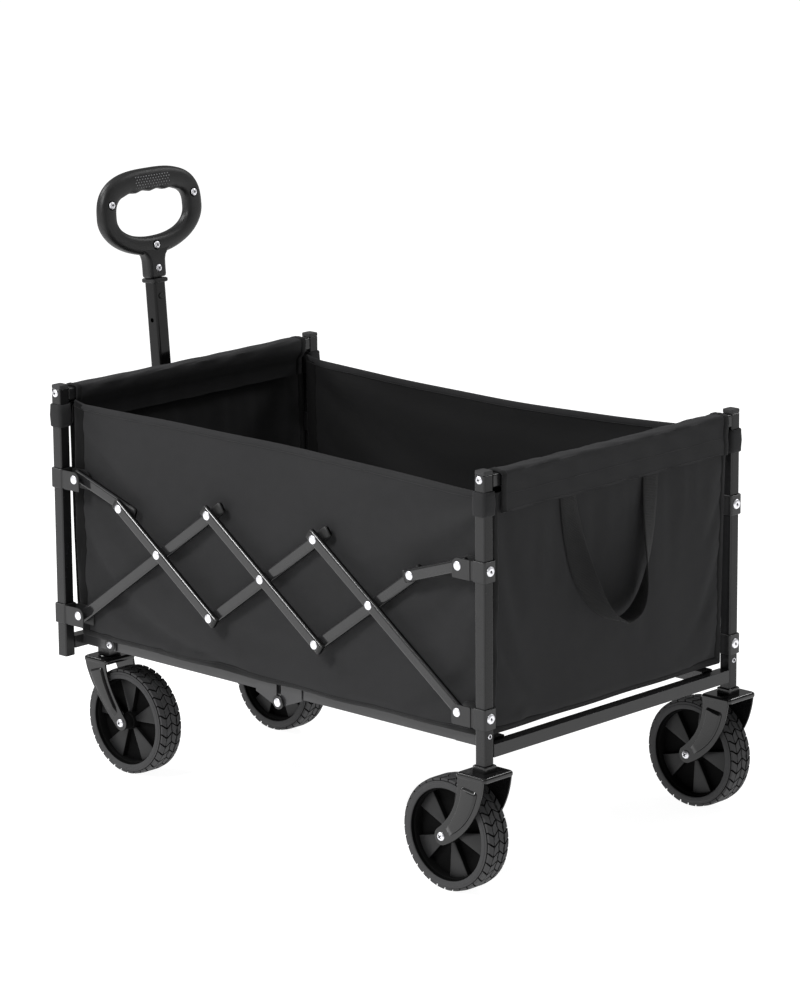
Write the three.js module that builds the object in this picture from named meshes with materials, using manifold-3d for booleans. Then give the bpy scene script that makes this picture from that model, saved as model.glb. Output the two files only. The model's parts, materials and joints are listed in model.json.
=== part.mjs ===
// Folding utility wagon: two steel end frames, a base that folds up in the middle, crossed side bars,
// a fabric tub, two fixed rear wheels, two front casters and a telescopic pull handle.
// Millimetres, +Z up, +X to the rear, the pull handle at -X; Z = 0 is the floor.
import * as THREE from 'three';
import { mergeVertices } from 'three/addons/utils/BufferGeometryUtils.js';
import Module from 'manifold-3d';

const wasm = await Module();
wasm.setup();

// ---- driving dimensions -------------------------------------------------------------------------
const CENTRE_SHIFT = 33.07;      // moves the model along X so that its box is centred on the origin
const GAP = 0.3;                 // between pieces that touch
const OVERLAP = 0.5;             // how far joined solids run into each other

const TUBE = 18;                 // square frame tube
const TUBE_WALL = 1.3;
const POST_X = 415.7;            // post centres
const POST_Y = 257.6;
const POST_TOP = 584.5;
const FRONT_POST_BOTTOM = 184.5;
const REAR_POST_BOTTOM = 177;
const CAP_HEIGHT = 5.9;          // what shows above the post
const CAP_PLUG_DEPTH = 12;

const TOP_RAIL_Z = 575.5;        // centre heights of the end rails
const BOTTOM_RAIL_Z = 203.6;

const BRACKET_HEIGHT = 32;
const BRACKET_WALL = 2.3;
const UPPER_PIVOT = { x: 378, z: 456.1 };
const LOWER_PIVOT = { x: 375.9, z: 252.7 };
const EAR_END = 10;              // ear material beyond the pivot

const BAR_WIDTH = 18;            // crossed side bars: flat rectangular tube in two layers
const BAR_THICKNESS = 8.8;
const BAR_WALL = 1.1;
const BAR_END = 9;
const INNER_LAYER_Y = 252.9;     // layer centre planes
const OUTER_LAYER_Y = 262.3;
const SCISSOR_ANGLE = THREE.MathUtils.degToRad(35.52);
const HALF_BAR = 128.9;          // crossing to the nearest end pivot of a middle bar
const LONG_ARM = 204.1;          // bracket to the first crossing
const SHORT_ARM = 95.5;          // first crossing to the free upper end
const CROSS_Z = LOWER_PIVOT.z + LONG_ARM * Math.sin(SCISSOR_ANGLE);

const BASE_PIVOT_X = 349.4;
const BASE_PIVOT_Z = 206.5;
const MID_PIN_Z = 186.7;
const BASE_RAIL_Y = 220;
const BASE_RAIL_END = 10;        // rail beyond its end pivot
const MID_GAP = 1;               // half the gap between the two base halves
const HINGE_PLATE = 2.2;
const BAY_BARS = [62, 325];      // distances of the base cross channels from the middle
const BOARD_THICKNESS = 5;
const BOARD_HALF_WIDTH = 227;
const BOARD_SETBACK = 11.5;      // board end short of the end pivot, clear of the arms when folded
const ARM = {                    // base arm, measured from the base's end pivot
  cheekEnd: 11,                  // cheek beyond the pivot, toward the middle
  cheekHalf: 8.5,                // half of a cheek's height
  tubeStart: 26,
  web: [27, 40],                 // cross strip that joins the cheeks to the tube
  webHeight: [-5, -1],
};
const HINGE = {                  // hinge plates under the middle of the base
  length: 44,
  lap: 3,                        // plate edge short of the middle
  drop: 2,                       // below the rail
  radius: 8,                     // round the pin
  pinRadius: 3.5,
  pinHalf: 11,
  pad: [28, 42],                 // pads between the wider plates and the rail
  padHalf: 4,
};
const CHANNEL = { half: 9, depth: 13, wall: 1.6 };
const WELD = 0.2;                // a hinge plate's bite into its rail

const WHEEL_RADIUS = 80;
const WHEEL_SIDES = 40;
const HUB_SIDES = 28;
const TYRE_HALF_WIDTH = 21.5;
const HUB_RADIUS = 64.5;
const HUB_HALF_WIDTH = 20;
const HUB_BOSS_RADIUS = 13;
const HUB_BOSS_HALF_WIDTH = 25;
const HUB_RIM = 2.5;             // rim thickness
const HUB_WEB_HALF = 2;
const HUB_BORE_GAP = 0.6;
const TYRE_SHOULDER = 6;
const SPOKES = 5;
const SPOKE_ANGLE = THREE.MathUtils.degToRad(16);   // half of a spoke's angle
const SPOKE_HALF_WIDTH = 9.5;    // from the wheel's middle plane to a spoke's face
const AXLE_RADIUS = 4.6;
const CASTER_TRAIL = 52.7;       // axle to post or swivel axis, along X
const FRONT_WHEEL_Y = { left: -177, right: 129 };
const SWIVEL_X = -411;
const CHEEK_OFFSET = 26.4;       // wheel plane to the inside of a fork cheek
const CHEEK_THICKNESS = 3;
const FORK_HALF_LENGTH = 24;
const FORK_END_RADIUS = 14;      // round the axle
const BOLT = { radius: 8, height: 6 };
const COLLAR_WALL = 2.5;         // collar round a rear post's foot
const COLLAR_HEIGHT = 8;
const FORK_TOP = 176.5;          // top of the rear fork plate
const SWIVEL_TOP = 170.4;        // top of the front fork plate
const STUD_RADIUS = 6.4;
const STUD_LENGTH = 15;
const STUD_CLEARANCE = 0.6;
const STEM_HALF = 12;            // half width of the block that takes the stud
const STEM_GAP = 0.8;            // between the block and the fork plate

const PANEL_THICKNESS = 3;
const SIDE_PANEL_Y = 239.5;
const SIDE_PANEL_TOP = 562;
const SIDE_PANEL_BOTTOM = 218.5;
const END_PANEL_X = 413;
const END_PANEL_BOTTOM = 226;

const HANDLE_PIVOT = { x: -443.5, z: 186 };
const HANDLE_LEAN = THREE.MathUtils.degToRad(4.6);
const EAR = { radius: 13, rise: 24, clearance: 0.7, thickness: 3, foot: 9 };
const OUTER_TUBE = 23.2;
const OUTER_TUBE_WALL = 1.4;
const OUTER_TUBE_FOOT = -9;
const OUTER_TUBE_TOP = 512;
const INNER_TUBE = 15;
const INNER_TUBE_WALL = 1.2;
const INNER_TUBE_FOOT = 30;
const SLIDE_PLUG_TOP = 54;       // plug that guides the foot of the inner tube
const SLIDE_GAP = 0.5;
const COLLAR_TOP = 518.5;
const COLLAR_LIP = 2.4;
const COLLAR_BORE_GAP = 0.4;
const NECK_BOTTOM = 520.5;
const GRIP_THICKNESS = 21;
const GRIP_SOCKET = 26;
const BUTTON_HEIGHT = 492;
const BUTTON_RADIUS = 4.5;
const BUTTON_PROUD = 2.2;
const STOP_HOLE = { radius: 3.4, below: 60 };

// ---- finishes -----------------------------------------------------------------------------------
function finish(color, roughness, metalness) {
  return new THREE.MeshStandardMaterial({ color, roughness, metalness });
}

const frameMetal = finish(0x1b1c1e, 0.45, 0.6);
const forkMetal = finish(0x111214, 0.25, 0.7);
const bracketPlastic = finish(0x161617, 0.55, 0);
const hubPlastic = finish(0x141415, 0.5, 0);
const tyreRubber = finish(0x101010, 0.9, 0);
const fabric = finish(0x0e0e0f, 0.95, 0);
const board = finish(0x1a1a1a, 0.8, 0);
const gripPlastic = finish(0x1c1c1d, 0.6, 0);
const brightSteel = finish(0xc8c8c8, 0.3, 0.9);

// ---- solids -------------------------------------------------------------------------------------
function toSolid(geometry) {
  const bare = geometry.clone();
  bare.deleteAttribute('normal');
  bare.deleteAttribute('uv');
  const merged = mergeVertices(bare, 1e-4);
  const mesh = new wasm.Mesh({
    numProp: 3,
    vertProperties: new Float32Array(merged.attributes.position.array),
    triVerts: new Uint32Array(merged.index.array),
  });
  return new wasm.Manifold(mesh);
}

function toGeometry(solid) {
  const mesh = solid.getMesh();
  const geometry = new THREE.BufferGeometry();
  geometry.setAttribute('position', new THREE.BufferAttribute(new Float32Array(mesh.vertProperties), 3));
  geometry.setIndex(new THREE.BufferAttribute(new Uint32Array(mesh.triVerts), 1));
  geometry.computeVertexNormals();
  return geometry;
}

function join(...geometries) {
  return toGeometry(geometries.map(toSolid).reduce((sum, next) => sum.add(next)));
}

function cut(geometry, ...tools) {
  return toGeometry(tools.map(toSolid).reduce((rest, tool) => rest.subtract(tool), toSolid(geometry)));
}

function block([x0, x1], [y0, y1], [z0, z1]) {
  const geometry = new THREE.BoxGeometry(Math.abs(x1 - x0), Math.abs(y1 - y0), Math.abs(z1 - z0));
  return geometry.translate((x0 + x1) / 2, (y0 + y1) / 2, (z0 + z1) / 2);
}

function rectanglePath(Kind, width, depth) {
  const outline = new Kind();
  outline.moveTo(-width / 2, -depth / 2);
  outline.lineTo(width / 2, -depth / 2);
  outline.lineTo(width / 2, depth / 2);
  outline.lineTo(-width / 2, depth / 2);
  outline.closePath();
  return outline;
}

// An open rectangular tube along +Z, centred on the Z axis.
function tube(width, depth, wall, z0, z1) {
  const section = rectanglePath(THREE.Shape, width, depth);
  section.holes.push(rectanglePath(THREE.Path, width - 2 * wall, depth - 2 * wall));
  return new THREE.ExtrudeGeometry(section, { depth: z1 - z0, bevelEnabled: false }).translate(0, 0, z0);
}

// A cylinder along Y from y0 to y1.
function pinY(radius, x, z, y0, y1, sides = 20) {
  const geometry = new THREE.CylinderGeometry(radius, radius, Math.abs(y1 - y0), sides);
  return geometry.translate(x, (y0 + y1) / 2, z);
}

function pinZ(radius, x, y, z0, z1, sides = 24) {
  const geometry = new THREE.CylinderGeometry(radius, radius, z1 - z0, sides).rotateX(Math.PI / 2);
  return geometry.translate(x, y, (z0 + z1) / 2);
}

// A flat plate cut from an outline in X and Z, standing between y0 and y1.
function plateXZ(outline, y0, y1, curveSegments = 6) {
  const depth = Math.abs(y1 - y0);
  const geometry = new THREE.ExtrudeGeometry(outline, { depth, bevelEnabled: false, curveSegments });
  return geometry.rotateX(Math.PI / 2).translate(0, Math.max(y0, y1), 0);
}

const wagon = new THREE.Group();
wagon.position.x = CENTRE_SHIFT;

function place(name, geometry, material, parent = wagon) {
  const mesh = new THREE.Mesh(geometry, material);
  mesh.name = name;
  parent.add(mesh);
  return mesh;
}

const sides = [['left', -1], ['right', 1]];
const ends = [['front', -1], ['rear', 1]];

// ---- end frames ---------------------------------------------------------------------------------
function addPost(end, side, ex, sy) {
  const bottom = end === 'front' ? FRONT_POST_BOTTOM : REAR_POST_BOTTOM;
  const post = place(`${end}_post_${side}`, tube(TUBE, TUBE, TUBE_WALL, bottom, POST_TOP), frameMetal);
  post.position.set(ex * POST_X, sy * POST_Y, 0);
}

// A plug in the top of a post, flush with its faces.
function addCap(end, side, ex, sy) {
  const half = TUBE / 2;
  const plug = half - TUBE_WALL - GAP;
  const seat = POST_TOP + GAP;
  const cap = join(
    block([-half, half], [-half, half], [seat, seat + CAP_HEIGHT]),
    block([-plug, plug], [-plug, plug], [POST_TOP - CAP_PLUG_DEPTH, seat + 1]),
  );
  place(`${end}_cap_${side}`, cap, bracketPlastic).position.set(ex * POST_X, sy * POST_Y, 0);
}

// A plastic clevis round the post; its two ears hold the end of a side bar.
function addBracket(end, side, level, ex, sy, pivot) {
  const inner = TUBE / 2 + GAP;
  const outer = inner + BRACKET_WALL;
  const reach = POST_X - pivot.x + EAR_END;
  const section = new THREE.Shape();
  section.moveTo(-outer, -outer);
  section.lineTo(reach, -outer);
  section.lineTo(reach, -inner);
  section.lineTo(outer, -inner);
  section.lineTo(outer, inner);
  section.lineTo(reach, inner);
  section.lineTo(reach, outer);
  section.lineTo(-outer, outer);
  section.closePath();
  section.holes.push(rectanglePath(THREE.Path, 2 * inner, 2 * inner));
  const geometry = new THREE.ExtrudeGeometry(section, { depth: BRACKET_HEIGHT, bevelEnabled: false });
  const bracket = place(`${end}_${level}_bracket_${side}`, geometry, bracketPlastic);
  bracket.position.set(ex * POST_X, sy * POST_Y, pivot.z - BRACKET_HEIGHT / 2);
  bracket.rotation.z = ex > 0 ? Math.PI : 0;
}

function addTopRail(end, ex) {
  const half = POST_Y - TUBE / 2 - GAP;
  const rail = place(`${end}_top_rail`, tube(TUBE, TUBE, TUBE_WALL, -half, half), frameMetal);
  rail.rotation.x = Math.PI / 2;
  rail.position.set(ex * POST_X, 0, TOP_RAIL_Z);
}

// The arm that reaches inward from an end rail and holds one end of the folding base.
function baseArm(ex, sy) {
  const railFace = POST_X - TUBE / 2 + OVERLAP;
  const cheekIn = TUBE / 2 + GAP;
  const cheekOut = cheekIn + HINGE_PLATE;
  const stub = tube(TUBE, TUBE, TUBE_WALL, BASE_PIVOT_X + ARM.tubeStart, railFace);
  stub.rotateY(Math.PI / 2).translate(0, BASE_RAIL_Y, BASE_PIVOT_Z);
  const cheek = (y0, y1) => block(
    [BASE_PIVOT_X - ARM.cheekEnd, railFace],
    [BASE_RAIL_Y + y0, BASE_RAIL_Y + y1],
    [BASE_PIVOT_Z - ARM.cheekHalf, BASE_PIVOT_Z + ARM.cheekHalf],
  );
  const web = block(
    ARM.web.map((x) => BASE_PIVOT_X + x),
    [BASE_RAIL_Y - cheekOut, BASE_RAIL_Y + cheekOut],
    ARM.webHeight.map((z) => BASE_PIVOT_Z + z),
  );
  const arm = join(stub, cheek(cheekIn, cheekOut), cheek(-cheekOut, -cheekIn), web);
  return mirrored(arm, ex, sy);
}

// Mirrors a geometry in X and Y and keeps its faces pointing out.
function mirrored(geometry, ex, sy) {
  geometry.scale(ex, sy, 1);
  if (ex * sy < 0) {
    const index = geometry.index.array;
    for (let i = 0; i < index.length; i += 3) {
      [index[i + 1], index[i + 2]] = [index[i + 2], index[i + 1]];
    }
  }
  return geometry;
}

function endRail(ex) {
  const half = POST_Y - TUBE / 2 - GAP;
  const rail = tube(TUBE, TUBE, TUBE_WALL, -half, half);
  rail.rotateX(Math.PI / 2).translate(ex * POST_X, 0, BOTTOM_RAIL_Z);
  return join(rail, baseArm(ex, -1), baseArm(ex, 1));
}

// The block under the front rail that a caster's stud turns in.
function casterStem(y) {
  const bottom = SWIVEL_TOP + STEM_GAP;
  const body = block(
    [SWIVEL_X - STEM_HALF, SWIVEL_X + STEM_HALF],
    [y - STEM_HALF, y + STEM_HALF],
    [bottom, BOTTOM_RAIL_Z - TUBE / 2 + OVERLAP],
  );
  return cut(body, pinZ(STUD_RADIUS + STUD_CLEARANCE, SWIVEL_X, y, bottom - 1, bottom + STUD_LENGTH + 2));
}

// One of the two ears on the front rail that hold the foot of the handle.
function handleEar(sy) {
  const inside = OUTER_TUBE / 2 + EAR.clearance;
  const face = -POST_X - TUBE / 2;
  const { x, z } = HANDLE_PIVOT;
  const railBottom = BOTTOM_RAIL_Z - TUBE / 2 + OVERLAP;
  const ear = new THREE.Shape();
  ear.moveTo(face + OVERLAP, z + EAR.rise);
  ear.lineTo(x, z + EAR.radius);
  ear.absarc(x, z, EAR.radius, Math.PI / 2, 1.5 * Math.PI, false);
  ear.lineTo(face + EAR.foot, z - EAR.radius);
  ear.lineTo(face + EAR.foot, railBottom);
  ear.lineTo(face + OVERLAP, railBottom);
  ear.closePath();
  return plateXZ(ear, sy * inside, sy * (inside + EAR.thickness));
}

function addBottomRails() {
  place('rear_bottom_rail', endRail(1), frameMetal);
  const stems = Object.values(FRONT_WHEEL_Y).map(casterStem);
  place('front_bottom_rail', join(endRail(-1), ...stems, handleEar(-1), handleEar(1)), frameMetal);
}

// ---- folding base -------------------------------------------------------------------------------
// A shallow channel, open below, between the two rails of a base half.
function crossChannel(x) {
  const half = BASE_RAIL_Y - TUBE / 2 + OVERLAP;
  const top = BASE_PIVOT_Z + TUBE / 2;
  const inside = CHANNEL.half - CHANNEL.wall;
  return cut(
    block([x - CHANNEL.half, x + CHANNEL.half], [-half, half], [top - CHANNEL.depth, top]),
    block([x - inside, x + inside], [-half - 1, half + 1], [top - CHANNEL.depth - 1, top - CHANNEL.wall]),
  );
}

// Hinge plates either side of a base rail, carried down to the pin under the middle of the base.
function hingePlate(sy, offset) {
  const y0 = sy * BASE_RAIL_Y + offset;
  const top = BASE_PIVOT_Z + TUBE / 2 - HINGE.drop;
  const bottom = BASE_PIVOT_Z - TUBE / 2 - HINGE.drop;
  const outline = new THREE.Shape();
  outline.moveTo(HINGE.length, top);
  outline.lineTo(HINGE.lap, top);
  outline.lineTo(HINGE.lap, bottom);
  outline.lineTo(-HINGE.radius, MID_PIN_Z);
  outline.absarc(0, MID_PIN_Z, HINGE.radius, Math.PI, 1.5 * Math.PI, false);
  outline.lineTo(HINGE.length, bottom);
  outline.closePath();
  return plateXZ(outline, y0, y0 + HINGE_PLATE);
}

// Pads that join the wider pair of hinge plates to the rail.
function hingePads(sy, step) {
  const y = sy * BASE_RAIL_Y;
  const face = TUBE / 2;
  const z = [BASE_PIVOT_Z - HINGE.padHalf, BASE_PIVOT_Z + HINGE.padHalf];
  const pad = (y0, y1) => block(HINGE.pad, [y0, y1], z);
  return [pad(y + face - WELD, y + face + step), pad(y - face - step, y - face + WELD)];
}

function hingePin(sy) {
  const y = sy * BASE_RAIL_Y;
  return pinY(HINGE.pinRadius, 0, MID_PIN_Z, y - HINGE.pinHalf, y + HINGE.pinHalf);
}

// The rear half carries the pins; the front half's plates stand outside the rear ones.
function baseHalf(isRear) {
  const pieces = BAY_BARS.map(crossChannel);
  const step = isRear ? 0 : HINGE_PLATE + 2 * GAP;
  const face = TUBE / 2 - WELD + step;
  for (const [, sy] of sides) {
    const rail = tube(TUBE, TUBE, TUBE_WALL, MID_GAP, BASE_PIVOT_X + BASE_RAIL_END);
    pieces.push(rail.rotateY(Math.PI / 2).translate(0, sy * BASE_RAIL_Y, BASE_PIVOT_Z));
    pieces.push(hingePlate(sy, face), hingePlate(sy, -face - HINGE_PLATE));
    pieces.push(...(isRear ? [hingePin(sy)] : hingePads(sy, step)));
  }
  return join(...pieces);
}

function addBase() {
  place('base_frame_rear', baseHalf(true), frameMetal);
  place('base_frame_front', mirrored(baseHalf(false), -1, 1), frameMetal);
  const z0 = BASE_PIVOT_Z + TUBE / 2 + GAP;
  for (const [end, ex] of ends) {
    const slab = block(
      [ex * (MID_GAP + 1), ex * (BASE_PIVOT_X - BOARD_SETBACK)],
      [-BOARD_HALF_WIDTH, BOARD_HALF_WIDTH],
      [z0, z0 + BOARD_THICKNESS],
    );
    place(`floor_board_${end}`, slab, board);
  }
}

// ---- crossed side bars --------------------------------------------------------------------------
// Every bar starts at its own first pivot and runs `length` at `angle` above the horizontal +X.
function addBar(name, sy, start, length, angle, layerY) {
  const geometry = tube(BAR_WIDTH, BAR_THICKNESS, BAR_WALL, -BAR_END, length + BAR_END);
  geometry.rotateZ(Math.PI / 2).rotateY(Math.PI / 2).rotateX(Math.PI / 2);
  const bar = place(name, geometry, frameMetal);
  bar.position.set(start.x, sy * layerY, start.z);
  bar.rotation.y = -angle;
}

function addSideBars(side, sy) {
  const cos = Math.cos(SCISSOR_ANGLE);
  const sin = Math.sin(SCISSOR_ANGLE);
  const step = HALF_BAR * cos;
  const rise = HALF_BAR * sin;
  const x1 = -LOWER_PIVOT.x + LONG_ARM * cos;
  const high = { z: CROSS_Z + rise };
  const low = { z: CROSS_Z - rise };
  const freeTop = { x: x1 - SHORT_ARM * cos, z: CROSS_Z + SHORT_ARM * sin };
  const up = SCISSOR_ANGLE;
  const down = -SCISSOR_ANGLE;
  const outer = OUTER_LAYER_Y;
  const inner = INNER_LAYER_Y;
  addBar(`bar_rise_1_${side}`, sy, { x: -LOWER_PIVOT.x, z: LOWER_PIVOT.z }, LONG_ARM + HALF_BAR, up, inner);
  addBar(`bar_fall_1_${side}`, sy, freeTop, SHORT_ARM + HALF_BAR, down, outer);
  addBar(`bar_fall_2_${side}`, sy, { x: x1 + step, z: high.z }, 2 * HALF_BAR, down, outer);
  addBar(`bar_rise_2_${side}`, sy, { x: x1 + step, z: low.z }, 2 * HALF_BAR, up, inner);
  addBar(`bar_rise_3_${side}`, sy, { x: -x1 - step, z: low.z }, SHORT_ARM + HALF_BAR, up, inner);
  addBar(`bar_fall_3_${side}`, sy, { x: -x1 - step, z: high.z }, LONG_ARM + HALF_BAR, down, outer);
  const linkX = freeTop.x + UPPER_PIVOT.x;
  const linkZ = UPPER_PIVOT.z - freeTop.z;
  const linkLength = Math.hypot(linkX, linkZ);
  const linkAngle = Math.atan2(linkZ, linkX);
  addBar(`link_front_${side}`, sy, { x: -UPPER_PIVOT.x, z: UPPER_PIVOT.z }, linkLength, -linkAngle, inner);
  addBar(`link_rear_${side}`, sy, { x: -freeTop.x, z: freeTop.z }, linkLength, linkAngle, outer);
}

// ---- tub ----------------------------------------------------------------------------------------
function addTub() {
  const half = PANEL_THICKNESS / 2;
  for (const [side, sy] of sides) {
    const y = sy * SIDE_PANEL_Y;
    const reach = POST_X - TUBE / 2 - 1;
    const panel = block([-reach, reach], [y - half, y + half], [SIDE_PANEL_BOTTOM, SIDE_PANEL_TOP]);
    place(`side_panel_${side}`, panel, fabric);
  }
  for (const [end, ex] of ends) {
    const x = ex * END_PANEL_X;
    const width = POST_Y - TUBE / 2 - GAP - BRACKET_WALL - 1;
    const top = TOP_RAIL_Z - TUBE / 2 - GAP;
    const panel = block([x - half, x + half], [-width, width], [END_PANEL_BOTTOM, top]);
    place(`end_panel_${end}`, panel, fabric);
  }
}

// ---- wheels -------------------------------------------------------------------------------------
function turned(profile, steps) {
  return new THREE.LatheGeometry(profile.map(([r, h]) => new THREE.Vector2(r, h)), steps);
}

function tyreGeometry() {
  const tread = WHEEL_RADIUS / Math.cos(Math.PI / WHEEL_SIDES);
  const bead = HUB_RADIUS + GAP;
  const w = TYRE_HALF_WIDTH;
  const shoulder = tread - TYRE_SHOULDER;
  return turned([
    [bead, -w + 1], [bead + 1, -w], [shoulder, -w + 1], [tread, -w + TYRE_SHOULDER],
    [tread, w - TYRE_SHOULDER], [shoulder, w - 1], [bead + 1, w], [bead, w - 1], [bead, -w + 1],
  ], WHEEL_SIDES).rotateY(Math.PI / WHEEL_SIDES);
}

function hubGeometry() {
  const bore = AXLE_RADIUS + HUB_BORE_GAP;
  const w = HUB_HALF_WIDTH;
  const boss = HUB_BOSS_HALF_WIDTH;
  const flare = HUB_BOSS_RADIUS + 2;
  const rim = HUB_RADIUS - HUB_RIM;
  const web = HUB_WEB_HALF;
  const body = turned([
    [bore, -boss], [HUB_BOSS_RADIUS, -boss], [flare, -web], [rim, -web],
    [rim, -w], [HUB_RADIUS, -w], [HUB_RADIUS, w], [rim, w],
    [rim, web], [flare, web], [HUB_BOSS_RADIUS, boss], [bore, boss], [bore, -boss],
  ], HUB_SIDES);
  const turns = Array.from({ length: SPOKES }, (_, i) => (2 * Math.PI * i) / SPOKES);
  return join(body, ...turns.map((turn) => spokeGeometry().rotateY(turn)));
}

// A wedge-shaped spoke, narrow at the boss and wide at the rim.
function spokeGeometry() {
  const outline = new THREE.Shape();
  const start = HUB_BOSS_RADIUS - 1;
  const end = HUB_RADIUS - 1.5;
  outline.moveTo(-2.5, start);
  outline.lineTo(2.5, start);
  outline.lineTo(end * Math.sin(SPOKE_ANGLE), end * Math.cos(SPOKE_ANGLE));
  outline.absarc(0, 0, end, Math.PI / 2 - SPOKE_ANGLE, Math.PI / 2 + SPOKE_ANGLE, false);
  outline.closePath();
  return plateXZ(outline, -SPOKE_HALF_WIDTH, SPOKE_HALF_WIDTH);
}

// One cheek of a fork, from the plate at z = 0 to the axle.
function cheekOutline(axle) {
  const half = FORK_HALF_LENGTH;
  const cheek = new THREE.Shape();
  cheek.moveTo(-half, 0);
  cheek.lineTo(half, 0);
  cheek.quadraticCurveTo(half + 7, -30, axle.x + 11, axle.z + 22);
  cheek.lineTo(axle.x + FORK_END_RADIUS, axle.z);
  cheek.absarc(axle.x, axle.z, FORK_END_RADIUS, 0, -Math.PI, true);
  cheek.lineTo(axle.x - FORK_END_RADIUS - 1, axle.z + 8);
  cheek.quadraticCurveTo(10, -52, -half, -12);
  cheek.closePath();
  return cheek;
}

// A fork with its plate top at z = 0 and its upright axis at x = 0; the axle lies at +X, below.
function forkGeometry(top) {
  const axle = { x: CASTER_TRAIL, z: WHEEL_RADIUS - top };
  const cheek = cheekOutline(axle);
  const inside = CHEEK_OFFSET;
  const outside = CHEEK_OFFSET + CHEEK_THICKNESS;
  const bolt = (y0, y1) => pinY(BOLT.radius, axle.x, axle.z, y0, y1, 12);
  return join(
    plateXZ(cheek, inside, outside),
    plateXZ(cheek, -outside, -inside),
    block([-FORK_HALF_LENGTH, FORK_HALF_LENGTH], [-outside, outside], [-CHEEK_THICKNESS, 0]),
    pinY(AXLE_RADIUS, axle.x, axle.z, -outside - 1, outside + 1),
    bolt(outside - OVERLAP, outside + BOLT.height),
    bolt(-outside - BOLT.height, -outside + OVERLAP),
  );
}

function rearFork() {
  const inside = TUBE / 2 + GAP;
  const outside = inside + COLLAR_WALL;
  const collar = cut(
    block([-outside, outside], [-outside, outside], [-1, COLLAR_HEIGHT]),
    block([-inside, inside], [-inside, inside], [GAP / 2, COLLAR_HEIGHT + 1]),
  );
  return join(mirrored(forkGeometry(FORK_TOP), -1, 1), collar);
}

function frontFork() {
  return join(forkGeometry(SWIVEL_TOP), pinZ(STUD_RADIUS, 0, 0, -1, STUD_LENGTH));
}

function addWheel(name, fork, x, y, top, axleX) {
  const [end, side] = name;
  place(`${end}_fork_${side}`, fork, forkMetal).position.set(x, y, top);
  place(`${end}_hub_${side}`, hubGeometry(), hubPlastic).position.set(axleX, y, WHEEL_RADIUS);
  place(`${end}_tyre_${side}`, tyreGeometry(), tyreRubber).position.set(axleX, y, WHEEL_RADIUS);
}

function addWheels() {
  for (const [side, sy] of sides) {
    addWheel(['rear', side], rearFork(), POST_X, sy * POST_Y, FORK_TOP, POST_X - CASTER_TRAIL);
    const y = FRONT_WHEEL_Y[side];
    addWheel(['front', side], frontFork(), SWIVEL_X, y, SWIVEL_TOP, SWIVEL_X + CASTER_TRAIL);
  }
}

// ---- pull handle --------------------------------------------------------------------------------
// Heights here run up the handle from its pivot.
function outerTube() {
  const half = OUTER_TUBE / 2;
  const lip = half + COLLAR_LIP;
  const bore = INNER_TUBE / 2 + COLLAR_BORE_GAP;
  const collar = cut(
    block([-lip, lip], [-lip, lip], [OUTER_TUBE_TOP - 2, COLLAR_TOP]),
    block([-bore, bore], [-bore, bore], [OUTER_TUBE_TOP - 3, COLLAR_TOP + 1]),
  );
  const radius = BUTTON_RADIUS + COLLAR_BORE_GAP;
  const buttonHole = new THREE.CylinderGeometry(radius, radius, 8, 20);
  buttonHole.rotateZ(Math.PI / 2).translate(half, 0, BUTTON_HEIGHT);
  const stopHole = pinY(STOP_HOLE.radius, 0, BUTTON_HEIGHT - STOP_HOLE.below, -half - 2, -half + 4);
  const barrel = tube(OUTER_TUBE, OUTER_TUBE, OUTER_TUBE_WALL, OUTER_TUBE_FOOT, OUTER_TUBE_TOP);
  return cut(join(barrel, collar), buttonHole, stopHole);
}

function innerTube() {
  const half = OUTER_TUBE / 2 - OUTER_TUBE_WALL - SLIDE_GAP;
  const bore = INNER_TUBE / 3;
  const plug = cut(
    block([-half, half], [-half, half], [INNER_TUBE_FOOT, SLIDE_PLUG_TOP]),
    block([-bore, bore], [-bore, bore], [INNER_TUBE_FOOT - 1, SLIDE_PLUG_TOP + 1]),
  );
  const top = NECK_BOTTOM + GRIP_SOCKET;
  return join(tube(INNER_TUBE, INNER_TUBE, INNER_TUBE_WALL, INNER_TUBE_FOOT, top), plug);
}

function gripOutline() {
  const outline = new THREE.Shape();
  outline.moveTo(13.75, NECK_BOTTOM);
  outline.lineTo(14.5, 552);
  outline.bezierCurveTo(15.5, 560, 24, 562, 34, 565);
  outline.bezierCurveTo(68, 574, 104, 598, 104, 634);
  outline.bezierCurveTo(104, 667, 84, 688, 50, 688);
  outline.lineTo(-50, 688);
  outline.bezierCurveTo(-84, 688, -104, 667, -104, 634);
  outline.bezierCurveTo(-104, 598, -68, 574, -34, 565);
  outline.bezierCurveTo(-24, 562, -15.5, 560, -14.5, 552);
  outline.lineTo(-13.75, NECK_BOTTOM);
  outline.closePath();
  return outline;
}

function gripOpening() {
  const hole = new THREE.Path();
  hole.moveTo(0, 584);
  hole.bezierCurveTo(38, 584, 74, 602, 74, 630);
  hole.bezierCurveTo(74, 645, 66, 655, 52, 655);
  hole.lineTo(-52, 655);
  hole.bezierCurveTo(-66, 655, -74, 645, -74, 630);
  hole.bezierCurveTo(-74, 602, -38, 584, 0, 584);
  return hole;
}

function gripGeometry() {
  const outline = gripOutline();
  outline.holes.push(gripOpening());
  const options = { depth: GRIP_THICKNESS, bevelEnabled: false, curveSegments: 8 };
  const slab = new THREE.ExtrudeGeometry(outline, options).translate(0, 0, -GRIP_THICKNESS / 2);
  slab.rotateX(Math.PI / 2).rotateZ(Math.PI / 2);
  const socket = INNER_TUBE / 2 + GAP;
  const socketTop = NECK_BOTTOM + GRIP_SOCKET + GAP;
  return cut(slab, block([-socket, socket], [-socket, socket], [NECK_BOTTOM - 1, socketTop]));
}

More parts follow.
